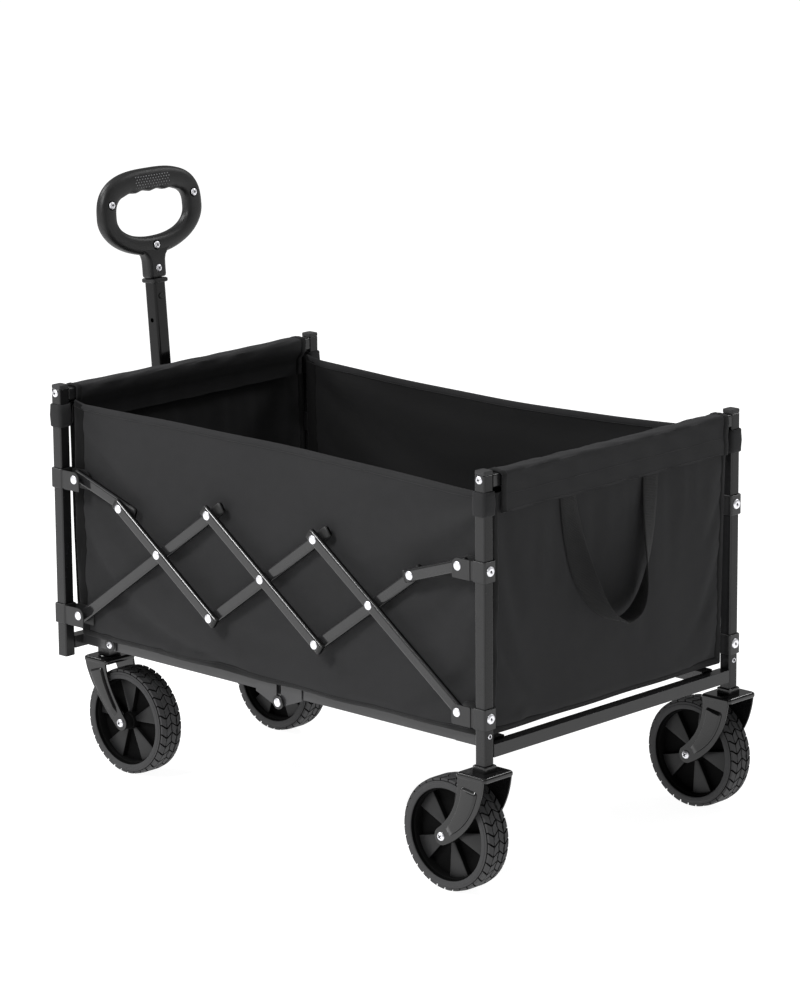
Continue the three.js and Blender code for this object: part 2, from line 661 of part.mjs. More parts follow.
function buttonGeometry() {
  const inner = OUTER_TUBE / 2 - OUTER_TUBE_WALL - 0.1;
  const outer = OUTER_TUBE / 2 + BUTTON_PROUD;
  const pin = new THREE.CylinderGeometry(BUTTON_RADIUS, BUTTON_RADIUS, outer - inner, 20);
  return pin.rotateZ(Math.PI / 2).translate((inner + outer) / 2, 0, BUTTON_HEIGHT);
}

function addHandle() {
  const handle = new THREE.Group();
  handle.position.set(HANDLE_PIVOT.x, 0, HANDLE_PIVOT.z);
  handle.rotation.y = -HANDLE_LEAN;
  wagon.add(handle);
  place('handle_outer_tube', outerTube(), frameMetal, handle);
  place('handle_inner_tube', innerTube(), frameMetal, handle);
  place('handle_grip', gripGeometry(), gripPlastic, handle);
  place('handle_release_button', buttonGeometry(), brightSteel, handle);
}

// ---- assembly -----------------------------------------------------------------------------------
for (const [end, ex] of ends) {
  for (const [side, sy] of sides) {
    addPost(end, side, ex, sy);
    addCap(end, side, ex, sy);
    addBracket(end, side, 'upper', ex, sy, UPPER_PIVOT);
    addBracket(end, side, 'lower', ex, sy, LOWER_PIVOT);
  }
  addTopRail(end, ex);
}
addBottomRails();
addBase();
for (const [side, sy] of sides) addSideBars(side, sy);
addTub();
addWheels();
addHandle();

export default wagon;
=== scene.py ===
"""The looks of a folding utility wagon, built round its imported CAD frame.

Metres, +Z up, +X to the rear and the pull handle at -X. "left" is the -Y side, "right" the +Y side.
"""

import json
import math

import bmesh
import bpy
from mathutils import Matrix, Vector


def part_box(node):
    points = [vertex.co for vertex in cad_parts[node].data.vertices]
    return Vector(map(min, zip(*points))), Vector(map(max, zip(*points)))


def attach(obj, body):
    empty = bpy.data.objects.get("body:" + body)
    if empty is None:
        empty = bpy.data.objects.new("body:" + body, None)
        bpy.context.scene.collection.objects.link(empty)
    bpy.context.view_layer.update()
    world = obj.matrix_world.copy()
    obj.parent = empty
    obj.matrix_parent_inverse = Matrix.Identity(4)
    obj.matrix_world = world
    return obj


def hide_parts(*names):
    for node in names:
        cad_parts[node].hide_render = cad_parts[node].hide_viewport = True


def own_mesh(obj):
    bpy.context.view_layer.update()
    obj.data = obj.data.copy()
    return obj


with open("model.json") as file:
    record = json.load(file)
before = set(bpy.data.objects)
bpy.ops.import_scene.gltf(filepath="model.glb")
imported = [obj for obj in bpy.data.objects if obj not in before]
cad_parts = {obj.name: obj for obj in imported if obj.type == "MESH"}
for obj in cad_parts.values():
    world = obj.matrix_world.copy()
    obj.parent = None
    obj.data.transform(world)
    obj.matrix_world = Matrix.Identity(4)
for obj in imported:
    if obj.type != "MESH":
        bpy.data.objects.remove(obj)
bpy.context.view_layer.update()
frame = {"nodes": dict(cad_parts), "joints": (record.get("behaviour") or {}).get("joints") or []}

SIDES = (("left", -1), ("right", 1))
ENDS = (("front", -1), ("rear", 1))
X_AXIS, Y_AXIS, Z_AXIS = Vector((1, 0, 0)), Vector((0, 1, 0)), Vector((0, 0, 1))


# ---- camera and light ----------------------------------------------------------------------------
CAMERA_TURN = (43.57, 13.409, -0.435)            # azimuth, elevation and roll in degrees
CAMERA_PLACE = (4.20275, -4.36452, 1.8772)
LENS, SENSOR = 155.73, 36                        # millimetres
SKY = 0.26                                       # brightness all round
LAMPS = {                                        # place, height that it points at, size and watts
    "key_left": ((-1.6, -3.6, 2.6), 0.35, (2.4, 1.8), 34),
    "top": ((0.2, 0.3, 3.6), 0.3, (2.6, 1.6), 12),
    "edge_left": ((-0.25, -3.0, 3.2), 0.35, (0.9, 0.9), 100),
    "edge_front": ((-2.3, -0.75, 2.6), 0.35, (0.8, 0.8), 34),
    "edge_right": ((0.75, 2.4, 2.5), 0.35, (0.8, 0.8), 24),
}


def make_camera():
    azimuth, elevation, roll = (math.radians(v) for v in CAMERA_TURN)
    back = Vector((math.sin(azimuth) * math.cos(elevation), -math.cos(azimuth) * math.cos(elevation),
                   math.sin(elevation)))
    level_right = Vector((math.cos(azimuth), math.sin(azimuth), 0))
    level_up = back.cross(level_right)
    right = math.cos(roll) * level_right + math.sin(roll) * level_up
    up = math.cos(roll) * level_up - math.sin(roll) * level_right
    camera = add_object("camera", bpy.data.cameras.new("camera"))
    camera.data.lens = LENS
    camera.data.sensor_width = SENSOR
    camera.data.clip_end = 100
    camera.matrix_world = axes_matrix(CAMERA_PLACE, right, up, back)
    bpy.context.scene.camera = camera


def add_area_light(name, place, height, size, power):
    light = bpy.data.lights.new(name, "AREA")
    light.shape = "RECTANGLE"
    light.size, light.size_y = size
    light.energy = power
    lamp = add_object(name, light)
    lamp.location = place
    lamp.rotation_mode = "QUATERNION"
    lamp.rotation_quaternion = (Vector((0, 0, height)) - Vector(place)).to_track_quat("-Z", "Y")


def make_studio():
    world = bpy.data.worlds.new("studio")
    world.use_nodes = True
    background = world.node_tree.nodes["Background"]
    background.inputs["Color"].default_value = (1, 1, 1, 1)
    background.inputs["Strength"].default_value = SKY
    bpy.context.scene.world = world
    bpy.context.scene.view_settings.view_transform = "Standard"
    for name, lamp in LAMPS.items():
        add_area_light(name, *lamp)


# ---- materials -----------------------------------------------------------------------------------
class Surface:
    """A material with a Principled shader, and short ways to add the nodes that drive it."""

    def __init__(self, name, color, roughness, metallic=0.0, **inputs):
        self.material = bpy.data.materials.new(name)
        self.material.use_nodes = True
        self.nodes = self.material.node_tree.nodes
        self.links = self.material.node_tree.links
        self.shader = self.nodes["Principled BSDF"]
        self.shader.inputs["Base Color"].default_value = (*color, 1)
        self.shader.inputs["Roughness"].default_value = roughness
        self.shader.inputs["Metallic"].default_value = metallic
        for key, value in inputs.items():
            self.shader.inputs[key.replace("_", " ")].default_value = value
        self.coordinates = self.nodes.new("ShaderNodeTexCoord")

    def node(self, kind, settings=None, **inputs):
        made = self.nodes.new(kind)
        for key, value in (settings or {}).items():
            setattr(made, key, value)
        for key, value in inputs.items():
            socket = made.inputs[int(key[2:]) if key.startswith("in") else key.replace("_", " ")]
            if isinstance(value, bpy.types.NodeSocket):
                self.links.new(value, socket)
            else:
                socket.default_value = value
        return made

    def noise(self, scale, detail=3.0, space="Object"):
        return self.node("ShaderNodeTexNoise", Vector=self.coordinates.outputs[space], Scale=scale,
                         Detail=detail).outputs["Fac"]

    def math(self, operation, a, b=0.0):
        return self.node("ShaderNodeMath", {"operation": operation}, in0=a, in1=b).outputs[0]

    def spread(self, value, low, high):
        """value from 0 to 1, spread between low and high."""
        return self.node("ShaderNodeMapRange", Value=value, To_Min=low, To_Max=high).outputs["Result"]

    def vary_roughness(self, value, low, high):
        self.links.new(self.spread(value, low, high), self.shader.inputs["Roughness"])

    def vary_color(self, value, dark, light):
        mix = self.node("ShaderNodeMix", {"data_type": "RGBA"})
        self.links.new(value, mix.inputs[0])
        mix.inputs[6].default_value = (*dark, 1)
        mix.inputs[7].default_value = (*light, 1)
        self.links.new(mix.outputs[2], self.shader.inputs["Base Color"])

    def bump(self, height, distance, strength=1.0):
        previous = self.shader.inputs["Normal"].links
        made = self.node("ShaderNodeBump", Height=height, Distance=distance, Strength=strength)
        if previous:
            self.links.new(previous[0].from_socket, made.inputs["Normal"])
        self.links.new(made.outputs["Normal"], self.shader.inputs["Normal"])


def grey(value):
    """A grey with a faint cold cast."""
    return (value, value, value * 1.04)


def painted_metal(name, tone, roughness, specular=0.5):
    """Powder coat: a faint orange peel, uneven gloss and thin dust on the broad faces."""
    surface = Surface(name, grey(tone), roughness, Specular_IOR_Level=specular)
    cloudy = surface.noise(14, 4)
    surface.vary_roughness(cloudy, roughness * 0.8, roughness * 1.25)
    surface.vary_color(surface.noise(45, 5), grey(tone * 0.82), grey(tone * 1.25))
    surface.bump(surface.noise(420, 2), 0.00015 * roughness, 0.5)
    surface.bump(surface.noise(1600, 1), 0.00008 * roughness, 0.4)
    return surface.material


def moulded_plastic(name, tone, roughness, grain=0.00012, specular=0.5):
    """Spark-eroded plastic: a fine pebbled grain over a slightly uneven gloss."""
    surface = Surface(name, grey(tone), roughness, Specular_IOR_Level=specular)
    place = surface.coordinates.outputs["Object"]
    pebbles = surface.node("ShaderNodeTexVoronoi", Vector=place, Scale=900.0)
    surface.vary_roughness(surface.noise(30, 4), roughness - 0.06, roughness + 0.1)
    surface.vary_color(surface.noise(60, 5), grey(tone * 0.8), grey(tone * 1.2))
    surface.bump(pebbles.outputs["Distance"], grain, 0.6)
    return surface.material


def rubber(name, tone):
    """Tyre rubber: dull, with dusty patches and moulding haze."""
    surface = Surface(name, grey(tone), 0.72)
    dust = surface.noise(38, 6)
    surface.vary_color(dust, grey(tone * 0.75), grey(tone * 1.5))
    surface.vary_roughness(dust, 0.6, 0.86)
    surface.bump(surface.noise(700, 3), 0.00015, 0.6)
    return surface.material


def woven_cloth(name, tone, pitch, gloss=0.82):
    """Plain-woven polyester. The weave follows the UV map, which is in metres of cloth."""
    surface = Surface(name, grey(tone), gloss, Sheen_Weight=0.08, Sheen_Roughness=0.45)
    surface.shader.inputs["Sheen Tint"].default_value = (0.55, 0.55, 0.58, 1)
    surface.shader.inputs["Specular IOR Level"].default_value = 0.2
    split = surface.node("ShaderNodeSeparateXYZ", Vector=surface.coordinates.outputs["UV"])
    turns = math.pi / pitch
    warp = surface.math("SINE", surface.math("MULTIPLY", split.outputs[0], turns))
    weft = surface.math("SINE", surface.math("MULTIPLY", split.outputs[1], turns))
    weave = surface.spread(surface.math("MULTIPLY", warp, weft), 0.0, 1.0)
    slubs = surface.noise(55, 6, "UV")
    surface.vary_color(slubs, grey(tone * 0.78), grey(tone * 1.28))
    surface.vary_roughness(slubs, gloss - 0.07, gloss + 0.09)
    surface.bump(surface.noise(7, 3, "UV"), 0.006, 0.5)
    surface.bump(weave, pitch * 0.22, 0.55)
    return surface.material


def webbing(name, tone):
    """Herringbone webbing: ribs along the strap, crossed by a finer rib."""
    surface = Surface(name, grey(tone), 0.74, Sheen_Weight=0.05, Sheen_Roughness=0.4)
    surface.shader.inputs["Specular IOR Level"].default_value = 0.25
    split = surface.node("ShaderNodeSeparateXYZ", Vector=surface.coordinates.outputs["UV"])
    across = surface.math("MULTIPLY", split.outputs[0], 2 * math.pi / 0.0018)
    along = surface.math("MULTIPLY", split.outputs[1], 2 * math.pi / 0.0022)
    zigzag = surface.math("ADD", along, surface.math("MULTIPLY", surface.math("SINE", across), 1.6))
    ribs = surface.spread(surface.math("SINE", zigzag), 0.0, 1.0)
    # The colour follows the ribs, darker in their valleys and lighter on their crests: painted shade and
    # light of the weave.
    surface.vary_color(ribs, grey(tone * 0.3), grey(tone * 2.0))
    surface.bump(surface.noise(70, 5, "UV"), 0.0004, 0.4)
    surface.bump(ribs, 0.0006, 0.8)
    return surface.material


def bright_metal(name, tone, roughness):
    """Zinc-plated steel with fine turning marks."""
    surface = Surface(name, grey(tone), roughness, 1.0)
    surface.vary_roughness(surface.noise(260, 4), roughness - 0.06, roughness + 0.1)
    surface.vary_color(surface.noise(120, 4), grey(tone * 0.88), grey(min(1, tone * 1.06)))
    surface.bump(surface.noise(900, 2), 0.00004, 0.5)
    return surface.material


def pale_floor(name):
    """A light table: almost white, with a little light of its own."""
    surface = Surface(name, (0.4, 0.4, 0.4), 0.8, Emission_Strength=0.94)
    surface.shader.inputs["Emission Color"].default_value = (1, 1, 1, 1)
    surface.vary_color(surface.noise(3, 4), (0.39, 0.39, 0.39), (0.41, 0.41, 0.41))
    return surface.material


LOOKS = {
    "frame_metal": painted_metal("powder_coat", 0.013, 0.24, 0.36),
    "fork_metal": painted_metal("gloss_paint", 0.006, 0.15),
    "bracket_plastic": moulded_plastic("bracket_plastic", 0.013, 0.42),
    "hub_plastic": moulded_plastic("hub_plastic", 0.010, 0.46, 0.00012, 0.36),
    "tyre": rubber("tyre_rubber", 0.028),
    "fabric": woven_cloth("tub_fabric", 0.0185, 0.00065),
    "board": woven_cloth("board_cover", 0.014, 0.00065, 0.86),
    "grip_plastic": moulded_plastic("grip_plastic", 0.007, 0.42, 0.00016, 0.42),
    "bright_steel": bright_metal("zinc", 0.93, 0.42),
}

# Finishes of pieces that look different from the rest of their slot.
# a lighter grey coat on the folding base and the rail arms than on the rest of the frame
BASE_METAL = painted_metal("satin_coat", 0.032, 0.22)
BAR_METAL = painted_metal("bar_coat", 0.017, 0.13)
BAR_SIDE_SHADE = painted_metal("shaded_coat", 0.005, 0.3, 0.10)           # narrow sides of the bars: a painted shade, darker and duller than their faces
POST_END_SHADE = painted_metal("turned_coat", 0.010, 0.26, 0.22)          # front and rear of the posts: a painted shade, darker and duller than their sides
# Inner faces of the tub's sides: a darker cloth painted as the shade inside the tub.
TUB_INNER_SHADE = woven_cloth("tub_inner_painted_shade", 0.007, 0.00065)
KNOB = moulded_plastic("bumper_plug", 0.003, 0.5)
HANDLE_METAL = painted_metal("handle_coat", 0.003, 0.12, 0.24)
WEBBING = webbing("webbing", 0.012)
BINDING = woven_cloth("binding_tape", 0.007, 0.0009, 0.78)
# Near-black tape over the ends of the sides: a real edging strip, painted dark as the shadow beside the
# posts.
EDGE_SHADOW_TAPE = woven_cloth("edge_painted_shadow_tape", 0.003, 0.0009, 0.86)
THREAD = moulded_plastic("thread", 0.022, 0.7, 0.00005)
# Near-black painted shade for recesses: tread grooves, holes and cross recesses of heads, rings under grip
# screws, and the wheels' spoke sides, rim, web and boss.
PAINTED_RECESS_SHADE = moulded_plastic("hub_recess", 0.0015, 0.75, 0.00005, 0.1)
CAP_TOP = moulded_plastic("cap_plastic", 0.026, 0.7, 0.0003)
# Pale grey grip dots: a painted highlight on each small raised dot.
DOT_HIGHLIGHT = moulded_plastic("grip_dot", 0.2, 0.5)


# ---- mesh tools ----------------------------------------------------------------------------------
def add_object(name, mesh):
    made = bpy.data.objects.new(name, mesh)
    bpy.context.scene.collection.objects.link(made)
    return made


CREASE = 38                      # degrees between faces that meet in a sharp edge
SOFT_CREASE = 60                 # the same for cloth
NEAR_AXIS = 0.00002              # stands for a turned profile's axis


def mesh_from(name, vertices, faces, sharp_degrees=CREASE):
    """A smooth-shaded mesh with sharp creases; closed ones get their faces turned outward."""
    mesh = bpy.data.meshes.new(name)
    mesh.from_pydata([tuple(v) for v in vertices], [], faces)
    shape = bmesh.new()
    shape.from_mesh(mesh)
    if not any(edge.is_boundary for edge in shape.edges):
        bmesh.ops.recalc_face_normals(shape, faces=shape.faces)
        shape.to_mesh(mesh)
    shape.free()
    mesh.shade_smooth()
    mesh.set_sharp_from_angle(angle=math.radians(sharp_degrees))
    return mesh


def solid(name, part, place=(0, 0, 0), sharp_degrees=CREASE):
    """An object made of one part, at a point or where a matrix puts it."""
    made = add_object(name, mesh_from(name, *part, sharp_degrees))
    if isinstance(place, Matrix):
        made.matrix_world = place
    else:
        made.location = place
    return made


def darken_walls(mesh, light, dark, is_dark):
    """Gives a mesh two finishes, the second a painted shade; is_dark picks the faces for the painted shade.
    """
    mesh.materials.append(light)
    mesh.materials.append(dark)
    for face in mesh.polygons:
        if is_dark(face):
            face.material_index = 1
    return mesh


def piece(made, body, slot, *nodes, material=None):
    """Gives an object its finish, ties it to its body, and hides the CAD nodes it stands for."""
    if not made.data.materials:
        made.data.materials.append(material or LOOKS[slot])
    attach(made, body)
    if nodes:
        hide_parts(*nodes)
    return made


def flat_faces(made):
    """Keeps broad faces flat beside small rounded edges."""
    shading = made.modifiers.new("flat faces", "WEIGHTED_NORMAL")
    shading.keep_sharp = True
    return made


def axes_matrix(origin, x_axis, y_axis, z_axis):
    """A frame at origin with the given unit axes."""
    return Matrix.Translation(origin) @ Matrix((x_axis, y_axis, z_axis)).transposed().to_4x4()


def loft(rings, wrap=False):
    """Vertices and faces of a skin over rings of points; the ends are capped unless it wraps round."""
    count = len(rings[0])
    vertices = [point for ring in rings for point in ring]
    faces = []
    pairs = len(rings) if wrap else len(rings) - 1
    for i in range(pairs):
        a, b = i * count, (i + 1) % len(rings) * count
        for j in range(count):
            k = (j + 1) % count
            faces.append((a + j, a + k, b + k, b + j))
    if not wrap:
        faces.append(tuple(reversed(range(count))))
        faces.append(tuple(range(len(vertices) - count, len(vertices))))
    return vertices, faces


def joined(parts):
    """Several (vertices, faces) as one."""
    vertices, faces = [], []
    for part_vertices, part_faces in parts:
        start = len(vertices)
        vertices += part_vertices
        faces += [tuple(start + i for i in face) for face in part_faces]
    return vertices, faces


def moved(part, matrix):
    vertices, faces = part
    if matrix.determinant() < 0:
        faces = [tuple(reversed(face)) for face in faces]
    return [matrix @ Vector(v) for v in vertices], faces


def arc(centre, radius, start, end, steps):
    """Points on an arc, with its angles in degrees."""
    angles = [math.radians(start + (end - start) * i / steps) for i in range(steps + 1)]
    return [(centre[0] + radius * math.cos(a), centre[1] + radius * math.sin(a)) for a in angles]


def bezier(points, steps):
    """Points on a Bezier curve of any degree."""
    made = []
    for i in range(steps + 1):
        t = i / steps
        line = [Vector(p) for p in points]
        while len(line) > 1:
            line = [a.lerp(b, t) for a, b in zip(line, line[1:])]
        made.append(line[0])
    return made


def rounded_rectangle(width, depth, radius, steps=4):
    """A rectangle with round corners, anticlockwise, as (x, y) points."""
    u, v = width / 2 - radius, depth / 2 - radius
    corners = ((u, v, 0), (-u, v, 90), (-u, -v, 180), (u, -v, 270))
    return [p for x, y, turn in corners for p in arc((x, y), radius, turn, turn + 90, steps)]


def section_ring(width, depth, radius, z):
    return [Vector((x, y, z)) for x, y in rounded_rectangle(width, depth, radius)]


def rounded_tube(width, depth, wall, radius, z0, z1, edge=0.0004):
    """A hollow tube with round corners along Z."""
    outside = [(z0, edge), (z0 + edge, 0), (z1 - edge, 0), (z1, edge)]
    rings = [section_ring(width - 2 * e, depth - 2 * e, radius, z) for z, e in outside]
    inner = max(radius - wall, 0.0006)
    rings += [section_ring(width - 2 * wall, depth - 2 * wall, inner, z) for z in (z1, z0)]
    return loft(rings, wrap=True)


def rounded_block(width, depth, radius, z0, z1, edge=0.0008):
    """A solid block with round corners along Z and eased ends."""
    stations = [(z0, edge), (z0 + edge * 0.3, edge * 0.3), (z0 + edge, 0),
                (z1 - edge, 0), (z1 - edge * 0.3, edge * 0.3), (z1, edge)]
    return loft([section_ring(width - 2 * e, depth - 2 * e, radius, z) for z, e in stations])


def lathe(profile, steps=48):
    """A turned solid about Z from (radius, height) points; one that stays off the axis is a ring."""
    rings = [[Vector((r * math.cos(a), r * math.sin(a), h)) for a in
              (2 * math.pi * i / steps for i in range(steps))] for r, h in profile]
    return loft(rings, wrap=profile[0][0] > 0.001)


def mirrored(half, middle=()):
    """A turned profile that is alike above and below height 0, from the points of its upper half."""
    return [*((r, -w) for r, w in half), *middle, *((r, w) for r, w in reversed(half))]


def plate(outline, thickness, bevel):
    """A plate in the XZ plane, centred on y = 0, with eased edges."""
    shape = bmesh.new()
    corners = [shape.verts.new((x, -thickness / 2, z)) for x, z in outline]
    face = shape.faces.new(corners)
    grown = bmesh.ops.extrude_face_region(shape, geom=[face])
    raised = [g for g in grown["geom"] if isinstance(g, bmesh.types.BMVert)]
    bmesh.ops.translate(shape, verts=raised, vec=(0, thickness, 0))
    bmesh.ops.recalc_face_normals(shape, faces=shape.faces)
    rims = [e for e in shape.edges if abs(e.verts[0].co.y - e.verts[1].co.y) < 1e-6]
    bmesh.ops.bevel(shape, geom=rims, offset=bevel, segments=2, profile=0.5, affect="EDGES",
                    clamp_overlap=True)
    shape.verts.index_update()
    part = [v.co.copy() for v in shape.verts], [tuple(v.index for v in f.verts) for f in shape.faces]
    shape.free()
    return part


# ---- places taken from the frame -----------------------------------------------------------------
PIVOT = {joint["name"]: Vector(joint["pos_m"]) for joint in frame["joints"] if "pos_m" in joint}


def centre_of(node):
    low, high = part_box(node)
    return (low + high) / 2


def scissor_points(side):
    """Where one side's bars cross and end, as seen from the side."""
    points = {
        "low_front": PIVOT[f"rise_1_pivot_{side}"],
        "low_rear": PIVOT[f"fall_3_pivot_{side}"],
        "high_front": PIVOT[f"link_front_pivot_{side}"],
        "high_rear": PIVOT[f"link_rear_pivot_{side}"],
        "cross_1": PIVOT[f"cross_1_pivot_{side}"],
        "cross_3": PIVOT[f"cross_3_pivot_{side}"],
        "top_1": PIVOT[f"top_1_pivot_{side}"],
        "top_2": PIVOT[f"top_2_pivot_{side}"],
    }
    points["cross_2"] = (points["cross_1"] + points["cross_3"]) / 2
    for i in (1, 2):
        top = points[f"top_{i}"]
        points[f"bottom_{i}"] = Vector((top.x, top.y, 2 * points["cross_2"].z - top.z))
    points["free_front"] = 2 * centre_of(f"bar_fall_1_{side}") - points["bottom_1"]
    points["free_rear"] = 2 * centre_of(f"bar_rise_3_{side}") - points["bottom_2"]
    return points


TUBE = 0.018                     # square frame tube
TUBE_WALL = 0.0013
TUBE_CORNER = 0.0024
CAP_GAP, CAP_EDGE = 0.0002, 0.0011          # of a post's cap: over the tube, and the ease of its edges
POST = {(end, side): centre_of(f"{end}_post_{side}") for end, _ in ENDS for side, _ in SIDES}


# ---- steel frame ---------------------------------------------------------------------------------
def soften_node(node, material, width=0.0007):
    """Eased edges and a finish for a CAD node that is shown as it is."""
    shown = frame["nodes"][node]
    shown.data.materials.clear()
    shown.data.materials.append(material)
    shown.data.shade_smooth()
    if "custom_normal" in shown.data.attributes:
        shown.data.attributes.remove(shown.data.attributes["custom_normal"])
    weld = shown.modifiers.new("weld", "WELD")
    weld.merge_threshold = 0.00002
    bevel = shown.modifiers.new("eased edges", "BEVEL")
    bevel.width = width
    bevel.segments = 2
    bevel.limit_method = "ANGLE"
    bevel.angle_limit = math.radians(CREASE)
    bevel.harden_normals = True


RAIL_MARGIN = 0.004              # from a bottom rail's face to where its arms' finish starts


def finish_arms(end):
    """The bottom rail's arms carry the folding base, and share its finish."""
    shown = frame["nodes"][f"{end}_bottom_rail"]
    shown.data.materials.append(BASE_METAL)
    rail = abs(RAIL[end].x)
    for face in shown.data.polygons:
        if abs((shown.matrix_world @ face.center).x) < rail - TUBE / 2 - RAIL_MARGIN:
            face.material_index = 1


def narrow_side(face):
    """Whether a tube's face is turned along its own X; these faces get a painted shade."""
    return abs(face.normal.x) > 0.97


def upright_tube(name, body, node):
    low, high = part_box(node)
    part = rounded_tube(high.x - low.x, high.y - low.y, TUBE_WALL, TUBE_CORNER, low.z, high.z)
    # the posts' front and rear faces get the painted shade
    mesh = darken_walls(mesh_from(name, *part), LOOKS["frame_metal"], POST_END_SHADE, narrow_side)
    made = add_object(name, mesh)
    made.location = ((low.x + high.x) / 2, (low.y + high.y) / 2, 0)
    piece(flat_faces(made), body, "frame_metal", node)


def make_posts():
    for (end, side), place in POST.items():
        body = f"{end}_frame"
        upright_tube(f"{end}_post_tube_{side}", body, f"{end}_post_{side}")
        cap = f"{end}_cap_{side}"
        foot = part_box(f"{end}_post_{side}")[1].z + CAP_GAP
        part = rounded_block(TUBE, TUBE, TUBE_CORNER, foot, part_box(cap)[1].z, CAP_EDGE)
        made = solid(f"{end}_post_cap_{side}", part, (place.x, place.y, 0))
        piece(flat_faces(made), body, "bracket_plastic", cap, material=CAP_TOP)


def make_top_rails():
    for end, _ in ENDS:
        node = f"{end}_top_rail"
        low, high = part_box(node)
        half = (high.y - low.y) / 2
        part = rounded_tube(TUBE, TUBE, TUBE_WALL, TUBE_CORNER, -half, half)
        made = solid(f"{end}_top_tube", part, axes_matrix((low + high) / 2, Z_AXIS, X_AXIS, Y_AXIS))
        piece(flat_faces(made), f"{end}_frame", "frame_metal", node)


BAR_CORNER = 0.0040
BAR_WALL = 0.0011
BAR_END = 0.009                  # bar beyond its end pivots
PLUG_FIT = 0.0006                # a plug is narrower than its bar by this
SHORT_PLUG, LONG_PLUG = 0.0042, 0.0145      # how far a plug stands out of its bar
LONG_PLUGS = ("bar_rise_1", "bar_rise_2", "link_front")    # bars whose upper plug is a domed bumper


def bar_ends(points):
    return {
        "bar_rise_1": (points["low_front"], points["top_1"]),
        "bar_fall_1": (points["free_front"], points["bottom_1"]),
        "bar_fall_2": (points["top_1"], points["bottom_2"]),
        "bar_rise_2": (points["bottom_1"], points["top_2"]),
        "bar_rise_3": (points["bottom_2"], points["free_rear"]),
        "bar_fall_3": (points["top_2"], points["low_rear"]),
        "link_front": (points["high_front"], points["free_front"]),
        "link_rear": (points["free_rear"], points["high_rear"]),
    }


def bar_plug(outward, half, depth, proud):
    """A plastic plug in a bar's end: a rounded knob that fills the tube."""
    stations = ((half - 0.004, 0.002), (half, 0.002), (half, -0.0002), (half + proud * 0.7, -0.0002),
                (half + proud * 0.85, 0.0004), (half + proud * 0.95, 0.0014), (half + proud, 0.0028))
    rings = []
    for z, e in stations:
        corner = max(BAR_CORNER - e * 0.4, 0.0004)
        rings.append(section_ring(TUBE - PLUG_FIT - 2 * e, depth - PLUG_FIT - 2 * e, corner, z))
    return moved(loft(rings), Matrix.Scale(outward, 4, Z_AXIS))


def add_bar(side, bar, start, end):
    """One bar between two pivots: its tube, and the plugs in its two ends."""
    node = f"{bar}_{side}"
    low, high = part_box(node)
    depth = high.y - low.y
    middle = Vector(((start.x + end.x) / 2, (low.y + high.y) / 2, (start.z + end.z) / 2))
    along = Vector((end.x - start.x, 0, end.z - start.z))
    half = along.length / 2 + BAR_END
    along.normalize()
    turn = axes_matrix(middle, Y_AXIS.cross(along), Y_AXIS, along)
    name = f"{bar}_tube_{side}"
    part = rounded_tube(TUBE, depth, BAR_WALL, BAR_CORNER, -half, half)
    # the bar's narrow sides get the painted shade
    made = add_object(name, darken_walls(mesh_from(name, *part), BAR_METAL, BAR_SIDE_SHADE, narrow_side))
    made.matrix_world = turn
    piece(flat_faces(made), node, "frame_metal", node)
    upper = LONG_PLUG if bar in LONG_PLUGS else SHORT_PLUG
    plugs = joined([bar_plug(1, half, depth, upper), bar_plug(-1, half, depth, SHORT_PLUG)])
    piece(solid(f"{bar}_plugs_{side}", plugs, turn), node, "bracket_plastic", material=KNOB)


def make_bars():
    for side, _ in SIDES:
        for bar, (start, end) in bar_ends(scissor_points(side)).items():
            add_bar(side, bar, start, end)


# ---- brackets ------------------------------------------------------------------------------------
BRACKET_WALL = 0.0023
RING_HALF = TUBE / 2 + 0.0003 + BRACKET_WALL               # half width of the ring round a post
GROOVE = 0.0040                  # between a bracket's ring and its ears
NECK_TRIM, NECK_SHEET = 0.0012, 0.0010      # how much lower the neck in that groove is, and how thick
BRACKET_DROP = 0.0030            # how far the moulding sits below its pivot's height
BRACKET_TRIM = 0.0030            # and how much lower it is than the CAD bracket
RING_CORNER, EAR_CORNER = 0.0034, 0.0105


def ear_outline(root, tip, height):
    """An ear from the ring to past the pivot, with a large round upper corner."""
    half = height / 2
    outline = [(root, half - 0.0004), (root, -half + 0.0004)]
    outline += arc((tip - 0.002, -half + 0.0024), 0.002, -90, 0, 3)
    outline += arc((tip - EAR_CORNER, half - 0.0004 - EAR_CORNER), EAR_CORNER, 0, 90, 8)
    return outline


def bracket_part(reach, height):
    """Ring round the post with the ears toward +X."""
    outer = 2 * RING_HALF
    parts = [rounded_tube(outer, outer, BRACKET_WALL, RING_CORNER, -height / 2, height / 2, 0.0006)]
    near, far, top = RING_HALF - 0.003, RING_HALF + GROOVE + 0.002, height / 2 - NECK_TRIM
    neck = plate([(near, top), (near, -top), (far, -top), (far, top)], NECK_SHEET, 0.0002)
    ear = plate(ear_outline(RING_HALF + GROOVE, reach, height), BRACKET_WALL, 0.0005)
    for sign in (-1, 1):
        middle = sign * (RING_HALF - BRACKET_WALL / 2)
        parts.append(moved(ear, Matrix.Translation((0, middle, 0))))
        parts.append(moved(neck, Matrix.Translation((0, middle - sign * 0.0006, 0))))
    return joined(parts)


def make_brackets():
    for (end, side), place in POST.items():
        inward = 1 if end == "front" else -1
        for level in ("upper", "lower"):
            node = f"{end}_{level}_bracket_{side}"
            low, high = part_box(node)
            tip = high.x - place.x if inward > 0 else place.x - low.x
            part = bracket_part(tip, high.z - low.z - BRACKET_TRIM)
            part = moved(part, Matrix.Scale(inward, 4, X_AXIS))
            spot = (place.x, place.y, (low.z + high.z) / 2 - BRACKET_DROP)
            made = solid(f"{end}_{level}_clevis_{side}", part, spot)
            piece(flat_faces(made), f"{end}_frame", "bracket_plastic", node)


